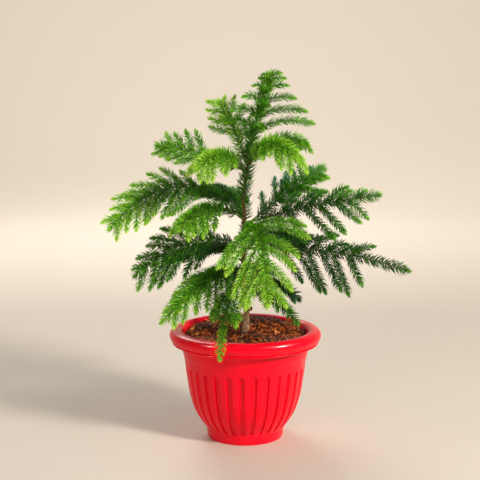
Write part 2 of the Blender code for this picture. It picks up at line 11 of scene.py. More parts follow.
import bpy
import numpy as np
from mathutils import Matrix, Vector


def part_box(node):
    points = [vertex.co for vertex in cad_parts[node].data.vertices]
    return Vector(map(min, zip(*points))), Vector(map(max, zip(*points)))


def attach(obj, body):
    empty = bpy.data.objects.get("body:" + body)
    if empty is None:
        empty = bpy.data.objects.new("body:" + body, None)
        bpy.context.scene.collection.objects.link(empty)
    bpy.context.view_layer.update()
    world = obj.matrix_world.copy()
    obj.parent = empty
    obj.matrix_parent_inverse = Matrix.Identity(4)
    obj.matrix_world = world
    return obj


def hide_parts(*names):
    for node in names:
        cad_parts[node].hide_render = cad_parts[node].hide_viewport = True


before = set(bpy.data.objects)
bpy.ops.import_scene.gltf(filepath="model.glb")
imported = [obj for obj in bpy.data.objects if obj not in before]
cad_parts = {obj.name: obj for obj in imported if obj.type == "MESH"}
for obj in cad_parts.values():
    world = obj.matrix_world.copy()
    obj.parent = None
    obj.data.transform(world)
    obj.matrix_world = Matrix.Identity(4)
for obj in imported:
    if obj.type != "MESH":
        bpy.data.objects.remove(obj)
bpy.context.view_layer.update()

bl_info = {
    "name": "Potted Norfolk Island Pine",
    "version": (1, 0, 0),
    "blender": (4, 5, 0),
    "location": "View3D > Sidebar > Pine",
    "description": "Builds the needles, wood, pot and compost of a potted Norfolk island pine",
    "category": "Object",
}

MM = 0.001
UP = np.array([0.0, 0.0, 1.0])
GOLDEN = math.radians(137.508)  # turn from one needle to the next up a shoot
NEEDLE_CURVE = 0.24  # how far a needle bends towards its shoot, as a share of its length
POT_LOW, POT_HIGH = (np.array(corner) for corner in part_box("pot"))
RIM_RADIUS = float(POT_HIGH[0] - POT_LOW[0]) / 2
POT_HEIGHT = float(POT_HIGH[2])
SOIL_TOP = float(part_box("soil")[1][2])
MASS_NODES = sorted(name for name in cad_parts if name.startswith("foliage_"))
BOUGH_NODES = sorted(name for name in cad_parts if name.startswith("bough_"))


# Sizes that the solids were made from, as there. Those without MM are plain millimetres, or shares

CLEAR = 0.3 * MM  # between solids that touch in the real plant
FLUTES = 30
FLUTE_TURN = math.radians(-93.8)  # bearing of the middle of one groove
FLUTE_FOOT, FLUTE_HEAD = 14.0, 98.5
FLUTE_WIDTH = 0.48  # share of a flute's pitch that the groove takes
FLUTE_DEPTH = 1.8  # of the solid's grooves, which the inside wall keeps clear of
WALL = 2.3
BOWL = ((12.7, 51.6), (16, 54.0), (22, 58.4), (34, 65.7), (55, 73.0), (78, 77.0), (98.5, 79.8), (106, 80.8))
MOUTH_RADIUS = 82 * MM
TRUNK_BENDS = ((141, 0.5), (165, 2), (185, 0), (202, -3), (245, -2.5), (290, -1.7), (320, -3), (366, 4))
TRUNK_FOOT = 141.3 * MM
TRUNK_TIP = 366 * MM
TRUNK_FOOT_RADIUS, TRUNK_TIP_RADIUS = 4.5 * MM, 2.0 * MM
FLARE, FLARE_HEIGHT = 2.0 * MM, 6 * MM
STUB_HEIGHT, STUB_BEARING, STUB_LENGTH, STUB_RADIUS = 171 * MM, math.radians(-35), 8.5 * MM, 3.4 * MM
LEADER_FOOT = np.array([4, 0, 366]) * MM
LEADER_TOP = np.array([34, 4, 484]) * MM
LEADER_BOW = np.array([-3, 0, 0]) * MM
BOUGH_ROOT, BOUGH_PER_REACH, BOUGH_TIP_SHARE = 0.9 * MM, 0.0035, 0.8
STEM_TIP_RADIUS = 1.1 * MM
SHOOT_RADIUS = 1.3 * MM
TWIG_CLEAR = 1.5 * MM  # between one shoot and the next, and between a shoot and the pot
STEM_SECTION, TIP_SECTION = 22 * MM, 0.35
SHORTER = (1.0, 0.8, 0.62, 0.46)  # shares of its length that a shoot without room is tried at

Rank = namedtuple("Rank", "bearing first last number reach")
LEADER_RANKS = (
    Rank(5, 0.30, 0.93, 6, 100),
    Rank(180, 0.34, 0.92, 6, 88),
    Rank(-75, 0.30, 0.86, 4, 56),
    Rank(95, 0.22, 0.84, 4, 60),
)

# Fronds, as in the solids, and two looks. The first is how bright the needles are, from 0, dark, to 1,
# bright: partly their age, this year's being brightest, and partly painted light and shade, set frond
# by frond so that some look lit and others shaded. The second, haze, is 1 where they are bluish:
# painted haze
Frond = namedtuple(
    "Frond", "name height bearing reach rise arch sweep shoot fill roll hang pairs first last youth haze"
)
FRONDS = (
    Frond("crown_left", 357.5, 132, 62, 89, 4, -4, 42, 1.5, -55, 0.10, 4, 0.34, 0.92, 0.76, 0),
    Frond("crown_rear", 352.5, 160, 132, 31, 8, 14, 40, 1.5, -55, -0.10, 4, 0.38, 0.84, 0.60, 0),
    Frond("crown_front", 348.5, 232, 105, 10, 25, 2, 36, 2.5, -10, 0.60, 6, 0.30, 0.92, 0.86, 0),
    Frond("crown_right", 355, 312, 94, 16, 30, -6, 40, 2.0, 5, 0.65, 6, 0.30, 0.92, 0.78, 0),
    Frond("crown_back", 360, 35, 102, 22, 21, 4, 34, 2.0, 10, 0.30, 5, 0.30, 0.88, 0.50, 0),
    Frond("middle_left", 296, 195, 180, -17, 44, -30, 46, 2.4, -55, 0.22, 9, 0.24, 0.94, 0.66, 0),
    Frond("middle_front", 290, 228, 124, -6, 24, -8, 38, 2.0, -10, 0.75, 5, 0.30, 0.90, 0.66, 0),
    Frond("middle_right", 285, 348, 182, 42, 6, -20, 56, 1.4, 50, 0.30, 6, 0.22, 0.82, 0.36, 0),
    Frond("middle_back", 280, 44, 157, 68, 20, -24, 40, 1.2, 25, 0.00, 6, 0.26, 0.78, 0.44, 0.5),
    Frond("middle_near", 272, 280, 156, -72, 42, 6, 88, 0.9, 22, 0.40, 6, 0.16, 0.88, 0.83, 0),
    Frond("middle_rear", 290, 112, 150, 24, 18, 0, 46, 2.0, 0, 0.25, 6, 0.26, 0.90, 0.40, 0),
    Frond("lower_left", 256, 186, 147, -43, 28, 10, 54, 1.8, -50, 0.22, 7, 0.24, 0.90, 0.34, 0),
    Frond("lower_right", 252, 351, 220, -26, 9, 16, 58, 1.2, 50, 0.40, 6, 0.20, 0.66, 0.23, 0),
    Frond("lower_rear", 244, 132, 160, -30, 16, 0, 50, 2.0, 0, 0.25, 7, 0.17, 0.90, 0.20, 0),
    Frond("lower_back", 246, 62, 165, -14, 22, 0, 50, 2.0, 0, 0.25, 7, 0.17, 0.90, 0.20, 0),
    Frond("base_left", 214, 219, 136, -47, 34, 18, 42, 1.6, -25, 0.45, 6, 0.26, 0.88, 0.64, 0),
    Frond("base_front", 206, 257, 130, -77, 30, -4, 28, 1.2, -10, 0.60, 4, 0.34, 0.66, 0.58, 0),
    Frond("base_right", 190, 317, 97, -28, 22, -8, 22, 1.5, 10, 0.40, 3, 0.36, 0.74, 0.32, 0),
    Frond("base_side", 202, 10, 80, -26, 18, 0, 26, 1.5, 10, 0.40, 4, 0.34, 0.86, 0.28, 1),
    Frond("base_back", 208, 78, 120, -30, 24, 0, 38, 2.0, 0, 0.35, 5, 0.30, 0.88, 0.30, 1),
    Frond("base_rear", 205, 142, 104, -34, 24, 0, 36, 2.0, 0, 0.35, 5, 0.30, 0.88, 0.30, 1),
)
FULLER_FRONDS = (
    "middle_left", "middle_front", "middle_back", "middle_rear", "lower_rear", "lower_back", "base_left",
)

# Looks that the solids don't have: shades of the needles from the darkest to the brightest, which stand
# both for the needles' age and for painted light and shade, the kinds of loose bark, and the stage
SHADES = (
    ("needle_old", "1C480A"), ("needle_dark", "30680E"), ("needle_green", "488A12"),
    ("needle_fresh", "64A41C"), ("needle_bright", "86BE2C"), ("needle_new", "AAD246"),
)
# bluish shades: painted haze laid on some shoots at the side and back, not the needles' own colour
HAZE_SHADES = (("needle_blue_dark", "2A5E36"), ("needle_blue", "5A9062"))
TUFT = 10 * MM  # length over which a shoot's last needles close up
SOIL_RADIUS = 80 * MM  # of the compost's mound
CHIP_KINDS = (
    # name, colours of the dark and the light fibres, and the share of chips up to and with this kind
    ("bark_chip_dark", "1E0C04", "542410", 0.42),
    ("bark_chip", "742E0E", "B4581E", 0.90),
    ("bark_chip_pale", "B0602A", "DC9450", 1.0),
)
PLANT_MIDDLE = (0.0, 0.0, 0.25)
SUNNY, WARM, SOFT = (1.0, 0.96, 0.88), (1.0, 0.97, 0.92), (1.0, 0.98, 0.95)
Lamp = namedtuple("Lamp", "name place size share colour target glossy diffuse")
LAMPS = (
    # share is of the key light's power; glossy and diffuse say whether gloss and plain surfaces show it
    Lamp("key_light", (1.9, -1.6, 1.5), 0.5, 1.0, SUNNY, PLANT_MIDDLE, False, True),
    Lamp("left_gloss", (-2.4, -0.8, 2.9), 0.6, 1.0, WARM, PLANT_MIDDLE, True, False),
    Lamp("right_gloss", (2.4, -0.8, 2.9), 0.6, 2.4, WARM, PLANT_MIDDLE, True, False),
    Lamp("front_light", (-1.1, -2.2, 0.5), 0.9, 0.19, SOFT, PLANT_MIDDLE, False, True),
    Lamp("back_light", (-0.6, 1.8, 1.8), 1.2, 0.30, WARM, PLANT_MIDDLE, True, True),
    Lamp("backdrop_light", (0.0, 1.6, 2.6), 1.5, 1.2, WARM, (0.0, 5.2, 1.4), True, True),
)
CAMERA_PLACE = (-0.007, -1.425, 0.471)
CAMERA_DIP = 8.3  # degrees that it looks down by
CAMERA_LENS = 82.5


class PinePotSettings(bpy.types.PropertyGroup):
    """The moulded pot."""

    colour: bpy.props.FloatVectorProperty(
        name="Colour", description="Colour of the moulded plastic, as sRGB", subtype="COLOR_GAMMA",
        default=(0.89, 0.0, 0.12), min=0.0, max=1.0,
    )
    roughness: bpy.props.FloatProperty(
        name="Roughness", description="Roughness of the plastic skin", default=0.30, min=0.0, max=1.0,
    )
    flute_depth: bpy.props.FloatProperty(
        name="Flute depth", description="Depth of the grooves in the pot's wall", default=3.0 * MM,
        min=0.0, max=3 * MM, unit="LENGTH",
    )


class PineSoilSettings(bpy.types.PropertyGroup):
    """The bark and coir compost."""

    chips: bpy.props.IntProperty(
        name="Chips", description="Loose bark chips on the compost", default=3200, min=0, max=8000,
    )
    chip_length: bpy.props.FloatProperty(
        name="Chip length", description="Usual length of a bark chip", default=5.2 * MM,
        min=1 * MM, max=12 * MM, unit="LENGTH",
    )


class PineWoodSettings(bpy.types.PropertyGroup):
    """Trunk, boughs and the cores of the shoots."""

    relief: bpy.props.FloatProperty(
        name="Bark relief", description="Height of the needle scars on the trunk", default=0.25 * MM,
        min=0.0, max=1 * MM, unit="LENGTH",
    )
    shoot_radius: bpy.props.FloatProperty(
        name="Shoot radius", description="Radius of a green shoot's core", default=1.0 * MM,
        min=0.2 * MM, max=2 * MM, unit="LENGTH",
    )


class PineNeedleSettings(bpy.types.PropertyGroup):
    """The needles."""

    length: bpy.props.FloatProperty(
        name="Length", description="Length of a full-grown needle on a side shoot", default=12.6 * MM,
        min=3 * MM, max=20 * MM, unit="LENGTH",
    )
    thickness: bpy.props.FloatProperty(
        name="Thickness", description="Thickness of a needle at its middle", default=1.15 * MM,
        min=0.3 * MM, max=2 * MM, unit="LENGTH",
    )
    per_mm: bpy.props.FloatProperty(
        name="Needles per millimetre", description="Needles on each millimetre of a side shoot", default=2.4,
        min=0.5, max=6.0,
    )
    lean: bpy.props.FloatProperty(
        name="Lean", description="Angle between a needle's root and its shoot", default=math.radians(57),
        min=0.1, max=1.5, subtype="ANGLE",
    )


class PineStageSettings(bpy.types.PropertyGroup):
    """Floor, lights and camera."""

    floor_colour: bpy.props.FloatVectorProperty(
        name="Floor colour", description="Colour of the plain floor, as sRGB", subtype="COLOR_GAMMA",
        default=(0.78, 0.74, 0.69), min=0.0, max=1.0,
    )
    key_power: bpy.props.FloatProperty(
        name="Key light", description="Power of the large soft light", default=110.0, min=0.0, max=500.0,
        unit="POWER",
    )


# Materials


def linear(colour):
    """An sRGB colour, as three numbers or a hex word, turned to linear light with an alpha of one."""
    if isinstance(colour, str):
        colour = [int(colour[i : i + 2], 16) / 255 for i in (0, 2, 4)]
    channels = [c / 12.92 if c <= 0.04045 else ((c + 0.055) / 1.055) ** 2.4 for c in colour]
    return (*channels, 1.0)


def new_material(name, **sockets):
    """A Principled material; sockets are the shader's own inputs, with _ for a space."""
    made = bpy.data.materials.new(name)
    made.use_nodes = True
    tree = made.node_tree
    shader = tree.nodes["Principled BSDF"]
    for key, value in sockets.items():
        shader.inputs[key.replace("_", " ")].default_value = value
    return made, tree, shader


def add_node(tree, kind, links=(), **settings):
    """Adds a node. settings are its properties or, for names that are inputs, their values; links are
    (output socket, input name or number) pairs that feed it."""
    made = tree.nodes.new(kind)
    for key, value in settings.items():
        label = key.replace("_", " ").title()
        if hasattr(made, key):
            setattr(made, key, value)
        else:
            made.inputs[label].default_value = value
    for source, target in links:
        tree.links.new(source, made.inputs[target])
    return made


def colour_ramp(tree, source, stops):
    """A ramp from one grey input through (place, hex colour) stops."""
    ramp = add_node(tree, "ShaderNodeValToRGB", [(source, 0)])
    elements = ramp.color_ramp.elements
    while len(elements) < len(stops):
        elements.new(0.5)
    for element, (place, colour) in zip(elements, stops):
        element.position = place
        element.color = linear(colour)
    return ramp.outputs["Color"]


def bump(tree, shader, source, distance, strength=1.0):
    """Relief from a grey pattern; distance is the real height in metres between black and white."""
    node = add_node(tree, "ShaderNodeBump", [(source, "Height")])
    node.inputs["Distance"].default_value = distance
    node.inputs["Strength"].default_value = strength
    tree.links.new(node.outputs["Normal"], shader.inputs["Normal"])


def object_coordinates(tree):
    """The place on the object, in metres, that every pattern reads."""
    return add_node(tree, "ShaderNodeTexCoord").outputs["Object"]


def noise(tree, scale, detail, **settings):
    """Grey noise over the object: its widest waves are about 1 / scale metres, and detail counts how
    often they are halved."""
    place = [(object_coordinates(tree), "Vector")]
    return add_node(tree, "ShaderNodeTexNoise", place, scale=scale, detail=detail, **settings).outputs["Fac"]


def cells(tree, scale):
    """Grey cells over the object, about 1 / scale metres wide, dark in the middle and pale at the edge."""
    place = [(object_coordinates(tree), "Vector")]
    return add_node(tree, "ShaderNodeTexVoronoi", place, scale=scale).outputs["Distance"]


def paint(tree, shader, source, stops):
    """Base colour from a grey pattern through a ramp of (place, colour) stops."""
    tree.links.new(colour_ramp(tree, source, stops), shader.inputs["Base Color"])


def moulded_polypropylene(settings):
    """Injection-moulded polypropylene: an even, slightly waxy gloss. The mould leaves a faint orange
    peel about 4 mm across, and handling leaves dull patches some centimetres wide."""
    made, tree, shader = new_material(
        "moulded_polypropylene", IOR=1.49, Specular_IOR_Level=0.1, Coat_Weight=0.28, Coat_Roughness=0.17,
    )
    patches = noise(tree, 28.0, 3.0)
    base = np.array(settings.colour)
    paint(tree, shader, patches, [(0.35, tuple(base * 0.95)), (0.65, tuple(base))])
    dull = add_node(
        tree, "ShaderNodeMapRange", [(patches, "Value")],
        to_min=settings.roughness - 0.03, to_max=settings.roughness + 0.06,
    )
    tree.links.new(dull.outputs["Result"], shader.inputs["Roughness"])
    bump(tree, shader, noise(tree, 250.0, 2.0), 0.06 * MM, 0.5)
    return made


def damp_coir():
    """Coir and fine bark between the chips: dark, damp, without gloss, with grains of 1 to 3 mm."""
    made, tree, shader = new_material("damp_coir", Roughness=0.95, IOR=1.4)
    grains = cells(tree, 420.0)
    paint(tree, shader, grains, [(0.1, "120703"), (0.5, "3A1A0A"), (0.9, "6E3418")])
    bump(tree, shader, grains, 0.8 * MM)
    return made


def bark_chip(name, dark, light):
    """Shredded pine bark: fibres about a millimetre wide, dull, paler where it is broken."""
    made, tree, shader = new_material(name, Roughness=0.85, IOR=1.45)
    fibres = noise(tree, 900.0, 2.0)
    paint(tree, shader, fibres, [(0.35, dark), (0.68, light)])
    bump(tree, shader, fibres, 0.2 * MM, 0.6)
    return made


def young_bark():
    """Young bark: pale tan and smooth near the soil, where the needles fell first, dark brown above, partly
    the bark's own brown and partly painted shade from the fronds over it. The change comes at about 165
    to 185 mm up; flecks from 3 mm down to a few tenths run through both."""
    made, tree, shader = new_material("young_bark", Roughness=0.82, IOR=1.45)
    parts = add_node(tree, "ShaderNodeSeparateXYZ", [(object_coordinates(tree), "Vector")])
    streaks = noise(tree, 320.0, 4.0, roughness=0.6)
    wander = add_node(tree, "ShaderNodeMath", [(streaks, 0)], operation="MULTIPLY")
    wander.inputs[1].default_value = 0.05
    height = add_node(
        tree, "ShaderNodeMath", [(parts.outputs["Z"], 0), (wander.outputs[0], 1)], operation="ADD"
    )
    share = add_node(
        tree, "ShaderNodeMapRange", [(height.outputs[0], "Value")], from_min=0.190, from_max=0.206
    )
    pale = colour_ramp(tree, streaks, [(0.3, "8E6A48"), (0.7, "CBA581")])
    # the brown's dark end is partly painted shade from the fronds above
    brown = colour_ramp(tree, streaks, [(0.3, "3A2010"), (0.7, "80502A")])
    mixed = add_node(tree, "ShaderNodeMix", data_type="RGBA")
    tree.links.new(share.outputs["Result"], mixed.inputs["Factor"])
    tree.links.new(pale, mixed.inputs["A"])
    tree.links.new(brown, mixed.inputs["B"])
    tree.links.new(mixed.outputs["Result"], shader.inputs["Base Color"])
    bump(tree, shader, streaks, 0.25 * MM, 0.7)
    return made


def green_bark():
    """Bark of this and last year's wood: green with brown leaf scars about 1.4 mm apart."""
    made, tree, shader = new_material("green_bark", Roughness=0.7, IOR=1.45)
    scars = cells(tree, 700.0)
    paint(tree, shader, scars, [(0.2, "5C7A2C"), (0.7, "3C5A1E"), (0.95, "4E3A1C")])
    bump(tree, shader, scars, 0.2 * MM, 0.5)
    return made


def needle_skin(name, colour):
    """A needle's skin: a waxy leaf, one plain colour for each shade."""
    return new_material(name, Base_Color=linear(colour), Roughness=0.45, IOR=1.42, Specular_IOR_Level=0.2)[0]


# Meshes from arrays


def unit(vector):
    """Vectors along the last axis, each divided by its length."""
    return vector / np.linalg.norm(vector, axis=-1, keepdims=True)


def mesh_object(name, points, faces, materials, slot, smooth=True, indices=None):
    """A piece from an array of points and one of faces, all with the same count of corners or a list
    of such arrays; it rides on the plant's body. indices give each face's material."""
    blocks = faces if isinstance(faces, list) else [faces]
    corners = np.concatenate([block.ravel() for block in blocks]).astype(np.int32)
    sizes = np.concatenate([np.full(len(block), block.shape[1]) for block in blocks]).astype(np.int32)
    starts = np.concatenate([[0], np.cumsum(sizes)[:-1]]).astype(np.int32)
    mesh = bpy.data.meshes.new(name)
    mesh.vertices.add(len(points))
    mesh.vertices.foreach_set("co", np.ascontiguousarray(points, np.float32).ravel())
    mesh.loops.add(len(corners))
    mesh.loops.foreach_set("vertex_index", corners)
    mesh.polygons.add(len(sizes))
    mesh.polygons.foreach_set("loop_start", starts)
    mesh.polygons.foreach_set("use_smooth", np.full(len(sizes), smooth))
    for each in materials:
        mesh.materials.append(each)
    if indices is not None:
        mesh.polygons.foreach_set("material_index", np.ascontiguousarray(indices, np.int32))
    mesh.update(calc_edges=True)
    mesh.validate()
    piece = bpy.data.objects.new(name, mesh)
    bpy.context.scene.collection.objects.link(piece)
    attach(piece, "root")
    return piece


def full_turn(count):
    """Angles in equal steps round a circle."""
    return np.arange(count) * 2 * math.pi / count


def grid_faces(rows, columns):
    """Quads of a grid whose columns close round, as rows by columns of points."""
    row, column = np.meshgrid(np.arange(rows - 1), np.arange(columns), indexing="ij")
    a = row * columns + column
    b = row * columns + (column + 1) % columns
    return np.stack([a, b, b + columns, a + columns], axis=-1).reshape(-1, 4)


def closed_ends(rows, columns, first, last):
    """Triangle fans that close a grid's first and last rows onto two middle points."""
    k = np.arange(columns)
    following = (k + 1) % columns
    top = (rows - 1) * columns
    foot_fan = np.stack([following, k, np.full(columns, first)], axis=1)
    head_fan = np.stack([top + k, top + following, np.full(columns, last)], axis=1)
    return np.concatenate([foot_fan, head_fan])


def closed_grid(surface, first, last):
    """Points and faces of a (rows, columns, 3) grid whose columns close round, and whose first and last
    rows close onto the points first and last."""
    rows, columns = surface.shape[:2]
    count = rows * columns
    points = np.concatenate([surface.reshape(-1, 3), np.array([first, last], float)])
    return points, [grid_faces(rows, columns), closed_ends(rows, columns, count, count + 1)]


def frames_along(paths):
    """Unit tangents of paths (..., points, 3), and two crosswise unit vectors. The first is level, or
    along +Y where a path runs upright; it is carried smoothly because it depends on the tangent alone."""
    along = unit(np.gradient(paths, axis=-2))
    flat = np.cross(UP, along)
    upright = np.abs(along[..., 2:3]) > 0.94
    level = np.where(upright, np.array([0.0, 1.0, 0.0]), flat)
    level = unit(level - (level * along).sum(-1, keepdims=True) * along)
    return along, level, np.cross(along, level)


def tubes(paths, radii, sides):
    """Tapering closed tubes: (tubes, points, 3) paths and (tubes, points) radii give the points
    path + radius * (cos a * level + sin a * up), and faces with both ends closed."""
    count, rows = paths.shape[:2]
    _, level, up = frames_along(paths)
    angle = full_turn(sides)
    ring = np.cos(angle)[:, None] * level[:, :, None] + np.sin(angle)[:, None] * up[:, :, None]
    skin = (paths[:, :, None] + radii[:, :, None, None] * ring).reshape(count, rows * sides, 3)
    points = np.concatenate([skin, paths[:, :1], paths[:, -1:]], axis=1)
    offset = np.arange(count)[:, None, None] * (rows * sides + 2)
    quads = (grid_faces(rows, sides)[None] + offset).reshape(-1, 4)
    fans = (closed_ends(rows, sides, rows * sides, rows * sides + 1)[None] + offset).reshape(-1, 3)
    return points.reshape(-1, 3), [quads, fans]


# The plant's rule, as in the solids


def path_length(path):
    """Sum of the distances from each point to the next."""
    return float(np.linalg.norm(np.diff(path, axis=0), axis=1).sum())


def resampled(path, count):
    """The same path with points at equal distances."""
    lengths = np.concatenate([[0], np.cumsum(np.linalg.norm(np.diff(path, axis=0), axis=1))])
    wanted = np.linspace(0, lengths[-1], count)
    return np.stack([np.interp(wanted, lengths, path[:, k]) for k in range(3)], axis=1)


def trunk_rings():
    """Heights of the solid trunk's rings: three in the flare, then thirteen at equal distances."""
    flare = np.array([0, 3, 9]) * MM + TRUNK_FOOT
    return np.concatenate([flare, np.linspace(165 * MM, TRUNK_TIP - CLEAR, 13)])


def trunk_point(height):
    """Middle of the trunk at a height: its rings are eased from each bend to the next."""
    bends = np.array(TRUNK_BENDS) * MM
    rings = trunk_rings()
    row = np.clip(np.searchsorted(bends[:, 0], rings) - 1, 0, len(bends) - 2)
    share = np.clip((rings - bends[row, 0]) / (bends[row + 1, 0] - bends[row, 0]), 0, 1)
    eased = share * share * (3 - 2 * share)
    sideways = np.interp(height, rings, bends[row, 1] + eased * (bends[row + 1, 1] - bends[row, 1]))
    return np.stack([sideways, np.zeros_like(sideways), height], axis=-1)


def trunk_radius(height):
    """Straight taper from foot to tip, and a flare that dies away above the soil."""
    share = (height - TRUNK_FOOT) / (TRUNK_TIP - TRUNK_FOOT)
    taper = TRUNK_FOOT_RADIUS + share * (TRUNK_TIP_RADIUS - TRUNK_FOOT_RADIUS)
    return taper + FLARE * np.exp(-(height - TRUNK_FOOT) / FLARE_HEIGHT)


def frond_axis(frond, share):
    """The frond's middle line: a straight run from trunk to tip, bowed upwards and sideways."""
    share = np.atleast_1d(share)[:, None]
    bearing = math.radians(frond.bearing)
    outward = np.array([math.cos(bearing), math.sin(bearing), 0])
    sideways = np.array([-math.sin(bearing), math.cos(bearing), 0])
    bow = 4 * share * (1 - share)
    reach = frond.reach * share * outward + frond.sweep * bow * sideways
    return trunk_point(frond.height * MM) + MM * (reach + (frond.rise * share + frond.arch * bow) * UP)


def leader_axis(share):
    """The leader's middle line: a straight run from foot to top plus 4 s (1 - s) times its bow."""
    share = np.atleast_1d(share)[:, None]
    return LEADER_FOOT + (LEADER_TOP - LEADER_FOOT) * share + 4 * share * (1 - share) * LEADER_BOW


def stem_line(axis, start):
    """The solids' stem: shares from start to the tip in equal steps, the last a shorter one, and their
    points on the axis."""
    sections = max(2, round(path_length(axis(np.linspace(start, 1, 9))) / STEM_SECTION))
    steps = np.append(np.arange(sections + 1), sections + TIP_SECTION)
    shares = start + (1 - start) * steps / steps[-1]
    return shares, axis(shares)


def root_and_tangent(stem, share):
    """The stem's point at a share, and the unit vector between its points 0.03 before and behind."""
    shares, points = stem
    before, here, after = (
        np.array([np.interp(place, shares, points[:, k]) for k in range(3)])
        for place in (share - 0.03, share, share + 0.03)
    )
    return here, unit(after - before)


Shoot = namedtuple("Shoot", "root length start bend youth haze owner")


def frond_shoots(frond, stem, owner, rng, pairs, wanted_places, scale=1.0):
    """Side shoots in pairs, by the solids' rule; wanted_places keeps only some places along the frond."""
    shoots = []
    for pair in range(pairs):
        for side in (1, -1):
            place = (pair + 0.5 + 0.2 * side + rng.uniform(-0.1, 0.1)) / pairs
            share = frond.first + (frond.last - frond.first) * place
            outer = (share - frond.first) / (1 - frond.first)
            length = frond.shoot * MM * min(1, 0.75 + 1.5 * outer) * (0.3 + 0.7 * (1 - outer**frond.fill))
            length *= rng.uniform(0.86, 1.10)
            root, along = root_and_tangent(stem, share)
            level = unit(np.cross(UP, along))
            roll = math.radians(frond.roll + rng.uniform(-11, 11) * side)
            across = side * (math.cos(roll) * level + math.sin(roll) * np.cross(along, level))
            lean = math.radians(68 - 26 * share + rng.uniform(-8, 8))
            start = math.cos(lean) * along + math.sin(lean) * across
            youth = frond.youth + 0.50 * (share - 0.55)
            if wanted_places(place):
                bend = 0.15 * along - frond.hang * UP
                # painted bluish haze: on one side of a half-hazed frond, on both sides of a fully hazed one
                haze = frond.haze > (0.25 if side > 0 else 0.75)
                shoots.append(Shoot(root, scale * length, start, bend, youth, haze, owner))
    return shoots


def leader_shoots(stem, rng):
    """Shoots in ranks round the leader, shorter towards its top, which rise and then bow outwards."""
    shoots = []
    lean = math.radians(48)
    for rank in LEADER_RANKS:
        for k in range(rank.number):
            place = 1 - (1 - k / (rank.number - 1)) ** 1.5
            share = rank.first + (rank.last - rank.first) * place + rng.uniform(-0.015, 0.015)
            bearing = math.radians(rank.bearing + rng.uniform(-15, 15))
            length = ((1 - share) * rank.reach + 9) * MM * rng.uniform(0.92, 1.08)
            root, along = root_and_tangent(stem, share)
            outward = np.array([math.cos(bearing), math.sin(bearing), 0])
            start = math.cos(lean) * along + math.sin(lean) * outward
            shoots.append(Shoot(root, length, start, 0.2 * outward - 0.52 * UP, 0.53, 0, 0))
    return shoots


def shoot_path(shoot, scale):
    """root + scale * length * (s * start + s * s * bend), for nine values of s from 0 to 1."""
    share = np.linspace(0, 1, 9)[:, None]
    return shoot.root + scale * shoot.length * (share * shoot.start + share * share * shoot.bend)


def clear_of_pot(path, radius):
    """Whether every point is above the rim, outside it, or within the mouth and above the compost."""
    outward = np.hypot(path[:, 0], path[:, 1])
    height = path[:, 2]
    margin = radius + TWIG_CLEAR
    above_rim = height > POT_HEIGHT + margin
    outside = outward > RIM_RADIUS + margin
    within = (outward < MOUTH_RADIUS - margin) & (height > SOIL_TOP + margin)
    return bool((above_rim | outside | within).all())


class Space:
    """What the shoots placed so far take up, as close points with a radius and an owner."""

    def __init__(self):
        self.points = np.zeros((0, 3))
        self.radii = np.zeros(0)
        self.owners = np.zeros(0, int)

    def dense(self, path):
        """The path with a point each 1.5 mm."""
        return resampled(path, max(3, int(path_length(path) / (1.5 * MM))))

    def take(self, path, radius, owner):
        """Adds a path."""
        dense = self.dense(path)
        self.points = np.concatenate([self.points, dense])
        self.radii = np.concatenate([self.radii, np.full(len(dense), radius)])
        self.owners = np.concatenate([self.owners, np.full(len(dense), owner)])

    def free(self, path, radius, owner):
        """Whether the path stays TWIG_CLEAR away from everything of other owners."""
        others = self.owners != owner
        dense = self.dense(path)
        apart = np.linalg.norm(dense[:, None] - self.points[others][None], axis=2)
        return bool((apart > radius + self.radii[others] + TWIG_CLEAR).all())


def plan_plant():
    """Every shoot that finds room, by the solids' rule and seeds, then finer ones between them, whose
    first third isn't tested, because it stands among the needles of its own stem."""
    space = Space()
    trunk = trunk_point(np.linspace(TRUNK_FOOT, TRUNK_TIP - 2 * MM, 60))
    space.take(trunk, TRUNK_TIP_RADIUS + 0.5 * MM, -1)
    leader_stem = stem_line(leader_axis, CLEAR / np.linalg.norm(LEADER_TOP - LEADER_FOOT))
    space.take(leader_stem[1], STEM_TIP_RADIUS, 0)
    wanted = leader_shoots(leader_stem, np.random.default_rng(5))
    finer = []
    for owner, frond in enumerate(FRONDS, start=1):
        root_radius = BOUGH_ROOT + BOUGH_PER_REACH * frond.reach * MM
        shares = np.linspace(0, 0.2, 401)
        points = frond_axis(frond, shares)
        room = np.linalg.norm(points - trunk_point(points[:, 2]), axis=1) - trunk_radius(points[:, 2])
        bough = frond_axis(frond, np.linspace(shares[np.argmax(room > 1.2 * CLEAR)], frond.first - 0.02, 4))
        gap = CLEAR / np.linalg.norm(frond_axis(frond, 1.0)[0] - frond_axis(frond, 0.0)[0])
        stem = stem_line(lambda share, frond=frond: frond_axis(frond, share), frond.first - 0.02 + gap)
        space.take(resampled(bough, 9)[3:], root_radius, -1 - owner)
        space.take(stem[1], BOUGH_TIP_SHARE * root_radius, owner)
        rng = np.random.default_rng(99 + owner)
        wanted += frond_shoots(frond, stem, owner, rng, frond.pairs, lambda place: True)
        finer += finer_shoots(frond, stem, owner)
    placed = []
    for group, beyond in ((wanted, 0), (finer, 3)):
        for shoot in group:
            for share in SHORTER:
                path = shoot_path(shoot, share)
                room = space.free(path[beyond:], SHOOT_RADIUS, shoot.owner)
                if room and clear_of_pot(path, SHOOT_RADIUS):
                    space.take(path, SHOOT_RADIUS, shoot.owner)
                    placed.append((shoot, path))
                    break
    return placed


